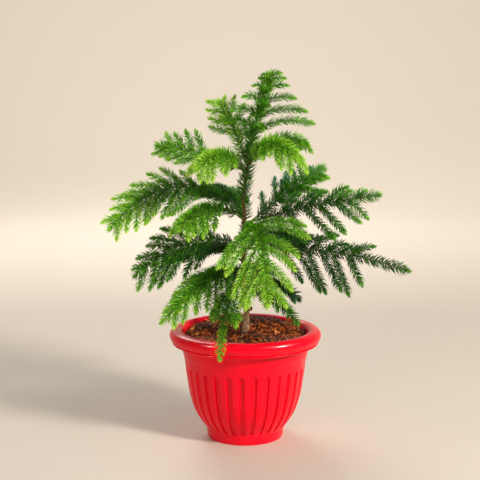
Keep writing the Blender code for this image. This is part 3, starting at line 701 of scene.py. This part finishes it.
def finer_shoots(frond, stem, owner):
    """Shorter shoots half-way between the pairs of the solids, on the fuller fronds. The frond that
    rises behind the trunk also has three upright ones near its foot."""
    rng = np.random.default_rng(400 + owner)
    if frond.name not in FULLER_FRONDS:
        return []
    shoots = frond_shoots(
        frond, stem, owner, rng, 2 * frond.pairs, lambda place: (place * frond.pairs) % 1.0 < 0.5, 0.55
    )
    if frond.name == "middle_back":
        foot = frond._replace(first=0.08, last=0.40, roll=62)
        foot_stem = stem_line(lambda share: frond_axis(frond, share), 0.03)
        shoots += frond_shoots(
            foot, foot_stem, owner, rng, 3, lambda place: (place * 3) % 1.0 > 0.5, 0.85
        )
    return shoots


# Needles

Sprig = namedtuple("Sprig", "path start_share end_share per_mm length lean youth slope haze")


def needle_bases(sprig, rng):
    """Needles stand in a spiral round a path. Each has a root, the path's direction there, a way
    outwards, a length, a lean, a brightness, partly its age and partly painted light and shade, and a
    haze. Over the last TUFT of the path they close up: the lean falls to 0.36 and the length to 0.55 of
    its value."""
    total = path_length(sprig.path)
    span = total * (sprig.end_share - sprig.start_share)
    count = max(4, int(span / MM * sprig.per_mm))
    step = (np.arange(count) + rng.uniform(-0.4, 0.4, count)) / count
    place = np.clip(sprig.start_share + step * (sprig.end_share - sprig.start_share), 0, 1)
    rows = 40
    dense = resampled(sprig.path, rows)
    along, level, up = frames_along(dense)

    def pick(values):
        at = place * (rows - 1)
        return np.stack([np.interp(at, np.arange(rows), values[:, k]) for k in range(3)], axis=1)

    angle = GOLDEN * np.arange(count) + rng.uniform(0, 6.28) + rng.uniform(-0.35, 0.35, count)
    outward = unit(np.cos(angle)[:, None] * pick(level) + np.sin(angle)[:, None] * pick(up))
    to_tip = (sprig.end_share - place) * total / TUFT
    closing = np.clip(1 - to_tip, 0, 1)
    lean = sprig.lean * (1 - 0.64 * closing**1.5) * rng.uniform(0.86, 1.14, count)
    length = sprig.length * (1 - 0.45 * closing) * rng.uniform(0.88, 1.10, count)
    youth = sprig.youth + sprig.slope * (place - 0.6) + 0.06 * closing + rng.normal(0, 0.10, count)
    return pick(dense), unit(pick(along)), outward, length, lean, youth, np.full(count, sprig.haze)


def needle_meshes(roots, along, outward, length, lean, thickness):
    """Needles as three-sided awls that curve inwards: the middle line is
    root + length * (s * start - NEEDLE_CURVE * s * s * outward), and the radius grows from 0.38 of the
    thickness to 0.5 at mid length, then falls to the point. Returned are (needles, 7, 3) points, and the
    faces of one needle."""
    start = np.cos(lean)[:, None] * along + np.sin(lean)[:, None] * outward
    side = unit(np.cross(along, outward))
    stations = np.array([0.0, 0.5, 1.0])
    curve = NEEDLE_CURVE * (stations**2)[None, :, None] * outward[:, None]
    middle = roots[:, None] + length[:, None, None] * (stations[None, :, None] * start[:, None] - curve)
    keel = unit(np.cross(side, start))
    angle = np.array([0.5, 7 / 6, 11 / 6]) * math.pi
    ring = np.cos(angle)[:, None] * side[:, None] + np.sin(angle)[:, None] * keel[:, None]
    foot = middle[:, :1] + 0.38 * thickness * ring
    belly = middle[:, 1:2] + 0.50 * thickness * ring
    points = np.concatenate([foot, belly, middle[:, 2:]], axis=1)
    faces = [(1, 0, 2)]
    for k in range(3):
        n = (k + 1) % 3
        faces += [(k, n, n + 3), (k, n + 3, k + 3), (k + 3, n + 3, 6)]
    return points, np.array(faces)


def bud(path, end, settings, youth, haze):
    """The close, short needles from 3.5 mm before a shoot's end to 1.5 mm past it, which make it blunt."""
    total = path_length(path)
    start, last = max(0.0, end - 3.5 * MM / total), min(1.0, end + 1.5 * MM / total)
    return Sprig(path, start, last, 3.2, 0.6 * settings.length, 0.85 * settings.lean, youth + 0.05, 0, haze)


def shoot_sprigs(shoot, path, settings):
    """A side shoot's needles: closer on the darker shoots, and on the outer half of a hazed one bluish,
    painted haze.
    """
    end = max(0.35, 1 - 0.45 * settings.length / path_length(path))
    per_mm = settings.per_mm * (1.2 if shoot.youth < 0.45 else 1.0)
    parts = ((0.03, 0.55 * end, 0), (0.55 * end, end, 1)) if shoot.haze else ((0.03, end, 0),)
    sprigs = [
        Sprig(path, first, last, per_mm, settings.length, settings.lean, shoot.youth, 0.30, haze)
        for first, last, haze in parts
    ]
    return [*sprigs, bud(path, end, settings, shoot.youth, shoot.haze)]


def stem_sprigs(frond, settings):
    """The needles of a frond's own stem: longest and closest in the crown, where the stems show most,
    and shortest on the front frond of the base, which hangs over the rim."""
    path = frond_axis(frond, np.linspace(0.10, 1.0, 60))
    end = 1 - 0.62 * settings.length / path_length(path)
    # painted bluish haze only on the stems of fronds that are hazed all over
    haze = frond.haze > 0.75
    # the crown's stems keep their frond's full brightness and darken less towards the trunk: painted light
    # on stems that stand in the leader's shade
    if frond.name.startswith("crown"):
        longer, closer, youth, slope = 1.5, 1.35, frond.youth, 0.25
    elif frond.name == "base_front":
        longer, closer, youth, slope = 0.95, 0.9, frond.youth - 0.10, 0.60
    else:
        longer, closer, youth, slope = 1.25, 1.25, frond.youth - 0.10, 0.60
    per_mm, length = closer * settings.per_mm, longer * settings.length
    stem = Sprig(path, 0.0, end, per_mm, length, 1.1 * settings.lean, youth, slope, haze)
    return [stem, bud(path, end, settings, frond.youth + 0.1, haze)]


def sprigs_of_plant(placed, settings):
    """Every needle-bearing line, grouped by the whorl that it belongs to, or the leader."""
    groups = {name: [] for name in ("leader", "crown", "middle", "lower", "base")}
    for shoot, path in placed:
        name = "leader" if shoot.owner == 0 else FRONDS[shoot.owner - 1].name.split("_")[0]
        groups[name] += shoot_sprigs(shoot, path, settings)
    for frond in FRONDS:
        groups[frond.name.split("_")[0]] += stem_sprigs(frond, settings)
    leader = leader_axis(np.linspace(0, 1, 60))
    end = 1 - 0.6 * settings.length / path_length(leader)
    upper = trunk_point(np.linspace(288 * MM, 366 * MM, 60))
    lower = trunk_point(np.linspace(232 * MM, 288 * MM, 60))
    for name, path, last, per_mm, longer, lean, youth, slope in (
        ("leader", leader, end, 3.6, 1.5, settings.lean, 0.48, 0.4),
        ("crown", upper, 1.0, 3.6, 1.6, math.radians(62), 0.38, 0.3),
        ("middle", lower, 1.0, 2.2, 1.15, math.radians(66), 0.20, 0),
    ):
        groups[name].append(Sprig(path, 0.0, last, per_mm, longer * settings.length, lean, youth, slope, 0))
    return groups


# Operators


class PINE_OT_pot(bpy.types.Operator):
    """Turn the fluted plastic pot."""

    bl_idname = "pine.pot"
    bl_label = "Pot"

    def execute(self, context):
        settings = context.scene.pine_pot
        half = np.array([0.09, 0.14, 0.165, 0.19, 0.215, 0.245, 0.30, 0.40])  # closest at a groove's walls
        across = np.concatenate([[0.0], half, [0.5], 1 - half[::-1]])
        angle = FLUTE_TURN + (np.arange(FLUTES)[:, None] + across).ravel() * 2 * math.pi / FLUTES
        heights, radii, outer = pot_profile()
        radius = radii[:, None] - settings.flute_depth * flute(angle, heights) * outer[:, None]
        level = np.broadcast_to(heights[:, None], radius.shape)
        skin = np.stack([radius * np.cos(angle), radius * np.sin(angle), level], axis=-1)
        points, faces = closed_grid(skin, [0, 0, heights[0]], [0, 0, heights[-1]])
        piece = mesh_object("pot_moulding", points, faces, [moulded_polypropylene(settings)], "pot_plastic")
        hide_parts("pot")
        return {"FINISHED"}


def rounded(corners, arcs, steps=5):
    """A profile through (height, radius, rounding) corners: each is replaced by an arc whose ends lie
    the rounding away along both sides, drawn as a quadratic curve."""
    points = []
    corners = np.array(corners, float)
    for k, (corner, round_by) in enumerate(zip(corners, arcs)):
        if k in (0, len(corners) - 1) or round_by == 0:
            points.append(corner)
            continue
        back, ahead = corners[k - 1] - corner, corners[k + 1] - corner
        start = corner + back * min(0.49, round_by / np.linalg.norm(back))
        end = corner + ahead * min(0.49, round_by / np.linalg.norm(ahead))
        t = np.linspace(0, 1, steps)[:, None]
        points += list((1 - t) ** 2 * start + 2 * t * (1 - t) * corner + t * t * end)
    return np.array(points)


def pot_profile():
    """Heights and radii from the middle of the underside, up the outside, over the rim and down the
    inside to the middle of the floor, with how far each row carries the flutes."""
    bowl = np.array(BOWL)
    heights = np.concatenate(
        [np.linspace(12.7, 19, 9)[:-1], np.linspace(19, 96, 36)[:-1], np.linspace(96, 106, 17)]
    )
    outside = np.stack([heights, smooth_curve(bowl, heights)], axis=1)
    foot = rounded([(0, 30), (0, 50), (11.5, 51.6), (12.7, 51.6)], (0, 1.5, 0.8, 0))
    band = rounded([(106, 80.8), (109, 81.3), (113, 82.8), (131, 83.6), (133.5, 86.5)], (0, 1.5, 2.5, 3, 0))
    under = [(133.5, 86.5), (134.0, 93.0)]
    bead = [(127.6, 94.0), (127.6, 95.8), (127.9, 96.9), (128.9, 97.2), (129.5, 95.9)]
    over = [(133.0, 99.3), (138.5, 100.8), (143.6, 98.0), (146, 91.5), (146, 87)]
    within = [(143.8, 84.0), (139.5, 82.0), (129, 79.3)]
    arcs = (0, 1.5, 0.6, 0.4, 0.4, 0.4, 0.4, 1.8, 2.8, 3.6, 4.0, 2.5, 2.5, 3.0, 0)
    rim = rounded(under + bead + over + within, arcs, 6)
    levels = np.array([128.0, 100.0, 70.0, 45.0, 25.0, 12.0])
    walls = smooth_curve(bowl, np.clip(levels, 12.7, 106)) - FLUTE_DEPTH - WALL
    inside = np.stack([levels, walls], axis=1)
    inside[0, 1] = 78.6  # just below the mouth, where the band is wider than the bowl
    floor = rounded([(12, 43), (3.4, 42), (3.4, 30)], (0, 3, 0))
    rows = np.concatenate([foot[:-1], outside, band[1:], rim[1:], inside, floor[1:]])
    outer = np.zeros(len(rows))
    outer[len(foot) - 1 : len(foot) - 1 + len(outside)] = 1
    return rows[:, 0] * MM, rows[:, 1] * MM, outer


def smooth_curve(knots, at):
    """A smooth curve through (x, y) knots: each stretch is a cubic whose slopes are the neighbours'
    mean slopes."""
    x, y = knots[:, 0], knots[:, 1]
    slope = np.gradient(y, x)
    k = np.clip(np.searchsorted(x, at) - 1, 0, len(x) - 2)
    width = x[k + 1] - x[k]
    t = (at - x[k]) / width
    return (
        (2 * t**3 - 3 * t**2 + 1) * y[k] + (t**3 - 2 * t**2 + t) * width * slope[k]
        + (-2 * t**3 + 3 * t**2) * y[k + 1] + (t**3 - t**2) * width * slope[k + 1]
    )


def flute(angle, heights):
    """Depth of the grooves from 0 to 1 at each height and angle. A point's reach is the cube root of
    across^3 + head^3, both as shares of where the groove ends, and the depth falls smoothly from 1 at a
    reach of 0.70 to 0 at 1: a flat bottom, steep walls and a head with rounded corners. The groove
    deepens from nothing over the lowest 3.5 mm."""
    pitch = 2 * math.pi / FLUTES
    across = np.abs((angle - FLUTE_TURN + pitch / 2) % pitch - pitch / 2) / (FLUTE_WIDTH * pitch / 2)
    level = heights[:, None] / MM
    head = np.clip((level - (FLUTE_HEAD - 4)) / 4, 0, 1.2)
    reach = (np.minimum(across[None, :], 1.2) ** 3 + head**3) ** (1 / 3)
    wall = np.clip((reach - 0.70) / 0.30, 0, 1)
    foot = np.clip((level - FLUTE_FOOT) / 3.5, 0, 1)
    return (1 - wall * wall * (3 - 2 * wall)) * foot * foot * (3 - 2 * foot)


class PINE_OT_compost(bpy.types.Operator):
    """Fill the pot with compost and strew bark chips on it."""

    bl_idname = "pine.compost"
    bl_label = "Compost"

    def execute(self, context):
        settings = context.scene.pine_soil
        base = mesh_object("compost_bed", *compost_bed(), [damp_coir()], "bark_compost")
        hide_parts("soil")
        rng = np.random.default_rng(41)
        count = settings.chips
        radius = 80.5 * MM * np.sqrt(rng.uniform(0.008, 1, count))
        bearing = rng.uniform(0, 2 * math.pi, count)
        x, y = radius * np.cos(bearing), radius * np.sin(bearing)
        kind = np.searchsorted([share for *_, share in CHIP_KINDS], rng.uniform(0, 1, count))
        lengths = settings.chip_length * rng.lognormal(0, 0.38, count)
        lengths = np.minimum(lengths, 2.4 * settings.chip_length)
        for number, (name, dark, light, _) in enumerate(CHIP_KINDS):
            mine = kind == number
            points, faces = chip_meshes(x[mine], y[mine], lengths[mine], rng)
            skins = [bark_chip(name, dark, light)]
            chips = mesh_object(name + "s", points, faces, skins, "bark_compost", smooth=False)
            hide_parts("soil")
        return {"FINISHED"}


def compost_bed():
    """Points and faces of the bed: six rings up the pot's wall, then rings of the mound from the wall to
    the middle, each point at the radius share * wall and the height of the mound there."""
    rings, columns = 60, 180
    angle = full_turn(columns)
    edge = soil_height(SOIL_RADIUS * np.cos(angle), SOIL_RADIUS * np.sin(angle))
    wall = np.interp(edge, np.array([129, 139.5, 143.8, 146]) * MM, np.array([79.3, 82.0, 84.0, 87.0]) * MM)
    radius = np.linspace(1.0, 0.04, rings)[:, None] * (wall + 0.2 * MM)
    x, y = radius * np.cos(angle), radius * np.sin(angle)
    mound = np.stack([x, y, soil_height(x, y)], axis=-1)
    sides = [
        np.stack([r * MM * np.cos(angle), r * MM * np.sin(angle), np.full(columns, h * MM)], axis=-1)
        for h, r in ((3.8, 30), (3.8, 44), (30, 59), (55, 66), (100, 73), (128, 77))
    ]
    return closed_grid(
        np.concatenate([np.array(sides), mound]), [0, 0, 3.8 * MM], [0, 0, float(soil_height(0.0, 0.0))]
    )


def soil_height(x, y):
    """The compost's mound: 5 mm lower at the wall than at the trunk, but heaped up 9 mm against the rear
    wall, with humps 7 to 31 mm apart made from sums of sines in three directions, which die away at the
    wall."""
    r = np.hypot(x, y) / SOIL_RADIUS
    base = SOIL_TOP - 1.2 * MM - 4.6 * MM * np.clip(r, 0, 1) ** 2
    base = base + 9.0 * MM * np.clip(y / SOIL_RADIUS, 0, 1) ** 1.3
    humps = 0.0
    for k, (length, high) in enumerate(((31, 0.8), (19, 0.6), (11, 0.4), (7, 0.3))):
        for turn in (0.3 + k, 1.4 + 1.7 * k, 2.6 + 0.6 * k):
            wave = (x * math.cos(turn) + y * math.sin(turn)) * 2 * math.pi / (length * MM)
            humps = humps + high * MM / 3 * np.sin(wave + 5.1 * turn)
    return base + humps * np.clip(1.15 - r, 0, 1)


def chip_meshes(x, y, lengths, rng):
    """Flakes of bark: a six-cornered outline, pushed about at random, with a raised middle above and
    below, turned and tipped at random. Returned are points and triangles."""
    count = len(x)
    angle = np.arange(6) * math.pi / 3
    outline = np.stack([np.cos(angle), np.sin(angle), np.zeros(6)], axis=1)
    local = np.concatenate([outline, [[0.1, 0, 1.0], [0, 0.1, -1.0]]])[None] * np.ones((count, 1, 1))
    local = local * rng.uniform(0.7, 1.25, (count, 8, 1))
    width = lengths * rng.uniform(0.2, 0.6, count)
    thick = lengths * rng.uniform(0.15, 0.4, count)
    local = local * np.stack([lengths / 2, width / 2, thick / 2], axis=1)[:, None]
    turn = rng.uniform(0, 2 * math.pi, count)
    tip = rng.normal(0, 0.45, count)
    heading = np.stack([np.cos(turn) * np.cos(tip), np.sin(turn) * np.cos(tip), np.sin(tip)], axis=1)
    side = unit(np.cross(UP + rng.normal(0, 0.35, (count, 3)), heading))
    normal = np.cross(heading, side)
    turned = local[:, :, :1] * heading[:, None] + local[:, :, 1:2] * side[:, None]
    turned = turned + local[:, :, 2:] * normal[:, None]
    lift = soil_height(x, y) + rng.uniform(-0.4, 1.2, count) * MM
    placed = turned + np.stack([x, y, lift], axis=1)[:, None]
    k = np.arange(6)
    following = (k + 1) % 6
    faces = np.concatenate(
        [np.stack([k, following, np.full(6, 6)], axis=1), np.stack([following, k, np.full(6, 7)], axis=1)]
    )
    offset = np.arange(count)[:, None, None] * 8
    return placed.reshape(-1, 3), (faces[None] + offset).reshape(-1, 3)


class PINE_OT_trunk(bpy.types.Operator):
    """Raise the trunk with its bark relief and the stub of a pruned branch."""

    bl_idname = "pine.trunk"
    bl_label = "Trunk"

    def execute(self, context):
        settings = context.scene.pine_wood
        bark = young_bark()
        rows, columns = 420, 30
        heights = np.linspace(TRUNK_FOOT - 1.2 * MM, TRUNK_TIP, rows)
        angle = full_turn(columns)
        # a tenth thinner than the solid, with the lowest part of the flare cut short
        radius = 0.9 * trunk_radius(np.maximum(heights, TRUNK_FOOT + 5 * MM))[:, None]
        radius = radius + settings.relief * bark_relief(heights, angle)
        centres = trunk_point(heights)
        around = np.stack([np.cos(angle), np.sin(angle), np.zeros(columns)], axis=1)
        skin = centres[:, None] + radius[:, :, None] * around[None]
        points, faces = closed_grid(skin, centres[0], centres[-1])
        trunk = mesh_object("trunk_wood", points, faces, [bark], "trunk_bark")
        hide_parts("trunk")
        stub = pruned_stub(bark)
        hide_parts("trunk")
        return {"FINISHED"}


def bark_relief(heights, angle):
    """Relief from about -1 to 1: needle scars where two crossing spirals meet, five turned one way and
    eight the other, which fade below 235 mm, and shallow rings 3.3 mm apart and hollows below that."""
    level = heights[:, None]
    one_way = np.maximum(0, np.sin(5 * angle[None] + level / MM * 1.35))
    scars = one_way * np.maximum(0, np.sin(-8 * angle[None] + level / MM * 1.05))
    rings = np.sin(level / MM * 1.9 + 0.8 * np.sin(2 * angle[None] + level * 90)) ** 3
    low = np.clip((0.235 - level) / 0.05, 0, 1)
    hollows = np.sin(3 * angle[None] + level * 240) * np.sin(level * 410 + 1.2 * np.cos(angle[None]))
    return (1 - low) * (1.3 * scars - 0.2) + low * (0.45 * rings + 0.8 * hollows)


def pruned_stub(bark):
    """The pruned branch: a short tube with a rolled collar round a sunken middle, whose dark skin is
    painted shade in the hollow. Its profile is (distance out, radius) as shares of the stub's length and
    radius, carried round with a wobble."""
    outward = unit(np.array([math.cos(STUB_BEARING), math.sin(STUB_BEARING), 0.25]))
    root = trunk_point(STUB_HEIGHT)
    tube = [(0.2, 0.75), (0.45, 0.85), (0.62, 0.95), (0.75, 1.02)]
    collar = [(0.88, 1.03), (0.96, 0.97), (1.0, 0.86), (0.99, 0.72), (0.95, 0.6)]
    hollow = [(0.88, 0.5), (0.80, 0.42), (0.74, 0.25)]
    profile = np.array(tube + collar + hollow)
    rows, columns = len(profile), 28
    angle = full_turn(columns)
    level = unit(np.cross(UP, outward))
    up = np.cross(outward, level)
    wobble = 1 + 0.05 * np.sin(3 * angle + 0.6) + 0.03 * np.sin(7 * angle)
    ring = (np.cos(angle)[:, None] * level + np.sin(angle)[:, None] * up) * wobble[:, None]
    middle = root + profile[:, :1] * STUB_LENGTH * outward
    skin = middle[:, None] + STUB_RADIUS * profile[:, 1:, None] * ring[None]
    points, faces = closed_grid(skin, middle[0], middle[-1])
    # the hollow's dark skin is painted shade, not the colour of the wood
    hollow_shade, _, _ = new_material("stub_heartwood", Base_Color=linear("2A160C"), Roughness=0.9)
    pale, tree, shader = new_material("stub_callus", Roughness=0.75, IOR=1.45)
    paint(tree, shader, noise(tree, 500.0, 3.0), [(0.35, "B08A68"), (0.7, "E2C4A4")])
    row = np.repeat(np.arange(rows - 1), columns)
    row = np.concatenate([row, np.zeros(columns), np.full(columns, rows)])
    # bark on the tube, the pale collar outside, and painted shade over the inner slope of the collar and the
    # hollow
    indices = np.where(row < 3, 0, np.where(row < 8, 1, 2))
    return mesh_object("pruned_stub", points, faces, [bark, pale, hollow_shade], "trunk_bark", indices=indices)


class PINE_OT_limbs(bpy.types.Operator):
    """Grow the boughs on to the tips of their fronds, and the leader."""

    bl_idname = "pine.limbs"
    bl_label = "Boughs and leader"

    def execute(self, context):
        bark = green_bark()
        rows, sides = 90, 10
        limbs, radii = [], []
        for frond in FRONDS:
            root_radius = BOUGH_ROOT + BOUGH_PER_REACH * frond.reach * MM
            shares = np.linspace(0.004, 1 - 4 * MM / (frond.reach * MM), rows)
            limbs.append(resampled(frond_axis(frond, shares), rows))
            # a taper to 0.35 mm, a collar at the trunk, and old leaf scars as ripples
            taper = root_radius + np.linspace(0, 1, rows) ** 0.8 * (0.35 * MM - root_radius)
            collar = 0.55 * MM * np.exp(-np.arange(rows) / 2.5)
            radii.append(taper + collar + 0.07 * MM * np.sin(np.arange(rows) * 1.7 + frond.bearing))
        points, faces = tubes(np.array(limbs), np.array(radii), sides)
        boughs = mesh_object("boughs", points, faces, [bark], "bough_bark")
        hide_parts(*BOUGH_NODES)
        leader = resampled(leader_axis(np.linspace(-0.01, 0.97, rows)), rows)[None]
        taper = np.linspace(TRUNK_TIP_RADIUS, 0.5 * MM, rows)[None]
        points, faces = tubes(leader, taper + 0.08 * MM * np.sin(np.arange(rows) * 1.9)[None], 12)
        stem = mesh_object("leader_stem", points, faces, [bark], "bough_bark")
        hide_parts("foliage_leader")
        return {"FINISHED"}


class PINE_OT_shoots(bpy.types.Operator):
    """Grow the green cores of the side shoots."""

    bl_idname = "pine.shoots"
    bl_label = "Side shoots"

    def execute(self, context):
        settings = context.scene.pine_wood
        rows, sides = 8, 6
        paths = np.array([resampled(path, rows) for _, path in plan_plant()])
        taper = np.linspace(settings.shoot_radius, 0.3 * settings.shoot_radius, rows)
        shorter = paths[:, :1] + 0.93 * (paths - paths[:, :1])  # so that each bud hides its core's end
        points, faces = tubes(shorter, np.broadcast_to(taper, (len(paths), rows)), sides)
        skin, _, _ = new_material("shoot_skin", Base_Color=linear("5E8A34"), Roughness=0.55)
        shoots = mesh_object("shoot_cores", points, faces, [skin], "bough_bark")
        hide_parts(*MASS_NODES)
        return {"FINISHED"}


class PINE_OT_needles(bpy.types.Operator):
    """Set every needle, sorted into one piece for each whorl and shade."""

    bl_idname = "pine.needles"
    bl_label = "Needles"

    def execute(self, context):
        settings = context.scene.pine_needles
        greens = [needle_skin(*shade) for shade in SHADES]
        blues = [needle_skin(*shade) for shade in HAZE_SHADES]
        groups = sprigs_of_plant(plan_plant(), settings)
        rng = np.random.default_rng(2024)
        for group, sprigs in groups.items():
            parts = [needle_bases(sprig, rng) for sprig in sprigs]
            roots, along, outward, length, lean, youth, haze = (np.concatenate(part) for part in zip(*parts))
            points, faces = needle_meshes(roots, along, outward, length, lean, settings.thickness)
            # each needle's shade follows its brightness, partly its age and partly painted light and shade
            shade = np.clip((youth * len(SHADES)).astype(int), 0, len(SHADES) - 1)
            nodes = [name for name in MASS_NODES if name.split("_")[1] == group]
            for number, skin in enumerate(greens):
                # a needle's foot takes the next darker shade: painted shade among the needles, under their
                # lit points
                skins = [greens[max(0, number - 1)], skin]
                self.set_needles(points, faces, (shade == number) & (haze == 0), group, skins, nodes)
            # bluish needles, painted haze; their feet take the dark blue as painted shade among the needles
            blue = np.clip(shade - 1, 0, 1)
            for number, skin in enumerate(blues):
                chosen = (blue == number) & (haze == 1)
                self.set_needles(points, faces, chosen, group, [blues[0], skin], nodes)
        return {"FINISHED"}

    def set_needles(self, points, faces, chosen, group, skins, nodes):
        """One piece of chosen needles, whose feet take the first skin, a darker one that paints shade among
        the needles, and whose points take the second.
        """
        count = int(chosen.sum())
        if count == 0:
            return
        offset = np.arange(count)[:, None, None] * points.shape[1]
        name = "%s_%s" % (skins[1].name.replace("needle", "needles"), group)
        at_point = np.tile((faces == points.shape[1] - 1).any(axis=1), count)
        points, faces = points[chosen].reshape(-1, 3), (faces[None] + offset).reshape(-1, 3)
        slot = "needles_" + group
        piece = mesh_object(name, points, faces, skins, slot, smooth=False, indices=at_point)
        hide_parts(*nodes)


class PINE_OT_stage(bpy.types.Operator):
    """Lay the plain round floor, which curves up far from the plant, set the soft lights and the camera."""

    bl_idname = "pine.stage"
    bl_label = "Stage"

    def execute(self, context):
        settings = context.scene.pine_stage
        scene = context.scene
        floor_mesh = bpy.data.meshes.new("studio_floor")
        turn = np.linspace(0, math.pi / 2, 25)
        reach = np.concatenate([[0.8, 1.6], 2.6 + 3.0 * np.sin(turn)])
        rise = np.concatenate([[0.0, 0.0], 3.0 * (1 - np.cos(turn))])
        columns = 96
        angle = full_turn(columns)
        skin = [[r * math.cos(a), r * math.sin(a), z] for r, z in zip(reach, rise) for a in angle]
        quads = grid_faces(len(reach), columns)[:, ::-1].tolist()
        middle = [[len(skin), k, (k + 1) % columns] for k in range(columns)]
        floor_mesh.from_pydata([*skin, [0, 0, 0]], [], quads + middle)
        floor_mesh.polygons.foreach_set("use_smooth", [True] * len(floor_mesh.polygons))
        floor = bpy.data.objects.new("studio_floor", floor_mesh)
        scene.collection.objects.link(floor)
        floor_mesh.materials.append(
            new_material("floor_paint", Base_Color=linear(settings.floor_colour), Roughness=0.7)[0]
        )
        for lamp in LAMPS:
            add_light(scene, lamp, lamp.share * settings.key_power)
        world = bpy.data.worlds.new("studio")
        scene.world = world
        world.use_nodes = True
        sky = world.node_tree.nodes["Background"].inputs
        sky["Color"].default_value = linear((0.96, 0.93, 0.9))
        sky["Strength"].default_value = 0.22
        scene.view_settings.view_transform = "Standard"
        camera_data = bpy.data.cameras.new("camera")
        camera_data.lens = CAMERA_LENS
        camera_data.sensor_width = 36
        camera = bpy.data.objects.new("camera", camera_data)
        camera.location = CAMERA_PLACE
        camera.rotation_euler = (math.radians(90 - CAMERA_DIP), 0, 0)
        scene.collection.objects.link(camera)
        scene.camera = camera
        return {"FINISHED"}


def add_light(scene, lamp, power):
    """A square area light that faces the lamp's target: it is tipped by the angle between the way back
    from the target and the vertical, and turned by that way's bearing."""
    light_data = bpy.data.lights.new(lamp.name, "AREA")
    light_data.size = lamp.size
    light_data.energy = power
    light_data.color = lamp.colour
    light = bpy.data.objects.new(lamp.name, light_data)
    away = np.array(lamp.place) - np.array(lamp.target)
    light.location = lamp.place
    tip = math.atan2(math.hypot(away[0], away[1]), away[2])
    light.rotation_euler = (tip, 0, math.atan2(away[0], -away[1]))
    light.visible_glossy = lamp.glossy
    light.visible_diffuse = lamp.diffuse
    scene.collection.objects.link(light)


class PINE_PT_panel(bpy.types.Panel):
    """Lists the pieces and their settings."""

    bl_idname = "PINE_PT_panel"
    bl_label = "Potted pine"
    bl_space_type = "VIEW_3D"
    bl_region_type = "UI"
    bl_category = "Pine"

    def draw(self, context):
        for operator in OPERATORS:
            self.layout.operator(operator.bl_idname)
        for name, group in GROUPS.items():
            box = self.layout.box()
            for key in group.__annotations__:
                box.prop(getattr(context.scene, name), key)


OPERATORS = (
    PINE_OT_pot, PINE_OT_compost, PINE_OT_trunk, PINE_OT_limbs, PINE_OT_shoots, PINE_OT_needles,
    PINE_OT_stage,
)
GROUPS = {
    "pine_pot": PinePotSettings,
    "pine_soil": PineSoilSettings,
    "pine_wood": PineWoodSettings,
    "pine_needles": PineNeedleSettings,
    "pine_stage": PineStageSettings,
}


def register():
    for group in GROUPS.values():
        bpy.utils.register_class(group)
    for operator in OPERATORS:
        bpy.utils.register_class(operator)
    bpy.utils.register_class(PINE_PT_panel)
    for name, group in GROUPS.items():
        setattr(bpy.types.Scene, name, bpy.props.PointerProperty(type=group))


def unregister():
    for name in GROUPS:
        delattr(bpy.types.Scene, name)
    bpy.utils.unregister_class(PINE_PT_panel)
    for operator in reversed(OPERATORS):
        bpy.utils.unregister_class(operator)
    for group in reversed(list(GROUPS.values())):
        bpy.utils.unregister_class(group)


def main():
    register()
    bpy.ops.pine.pot()
    bpy.ops.pine.compost()
    bpy.ops.pine.trunk()
    bpy.ops.pine.limbs()
    bpy.ops.pine.shoots()
    bpy.ops.pine.needles()
    bpy.ops.pine.stage()


if __name__ == "__main__":
    main()
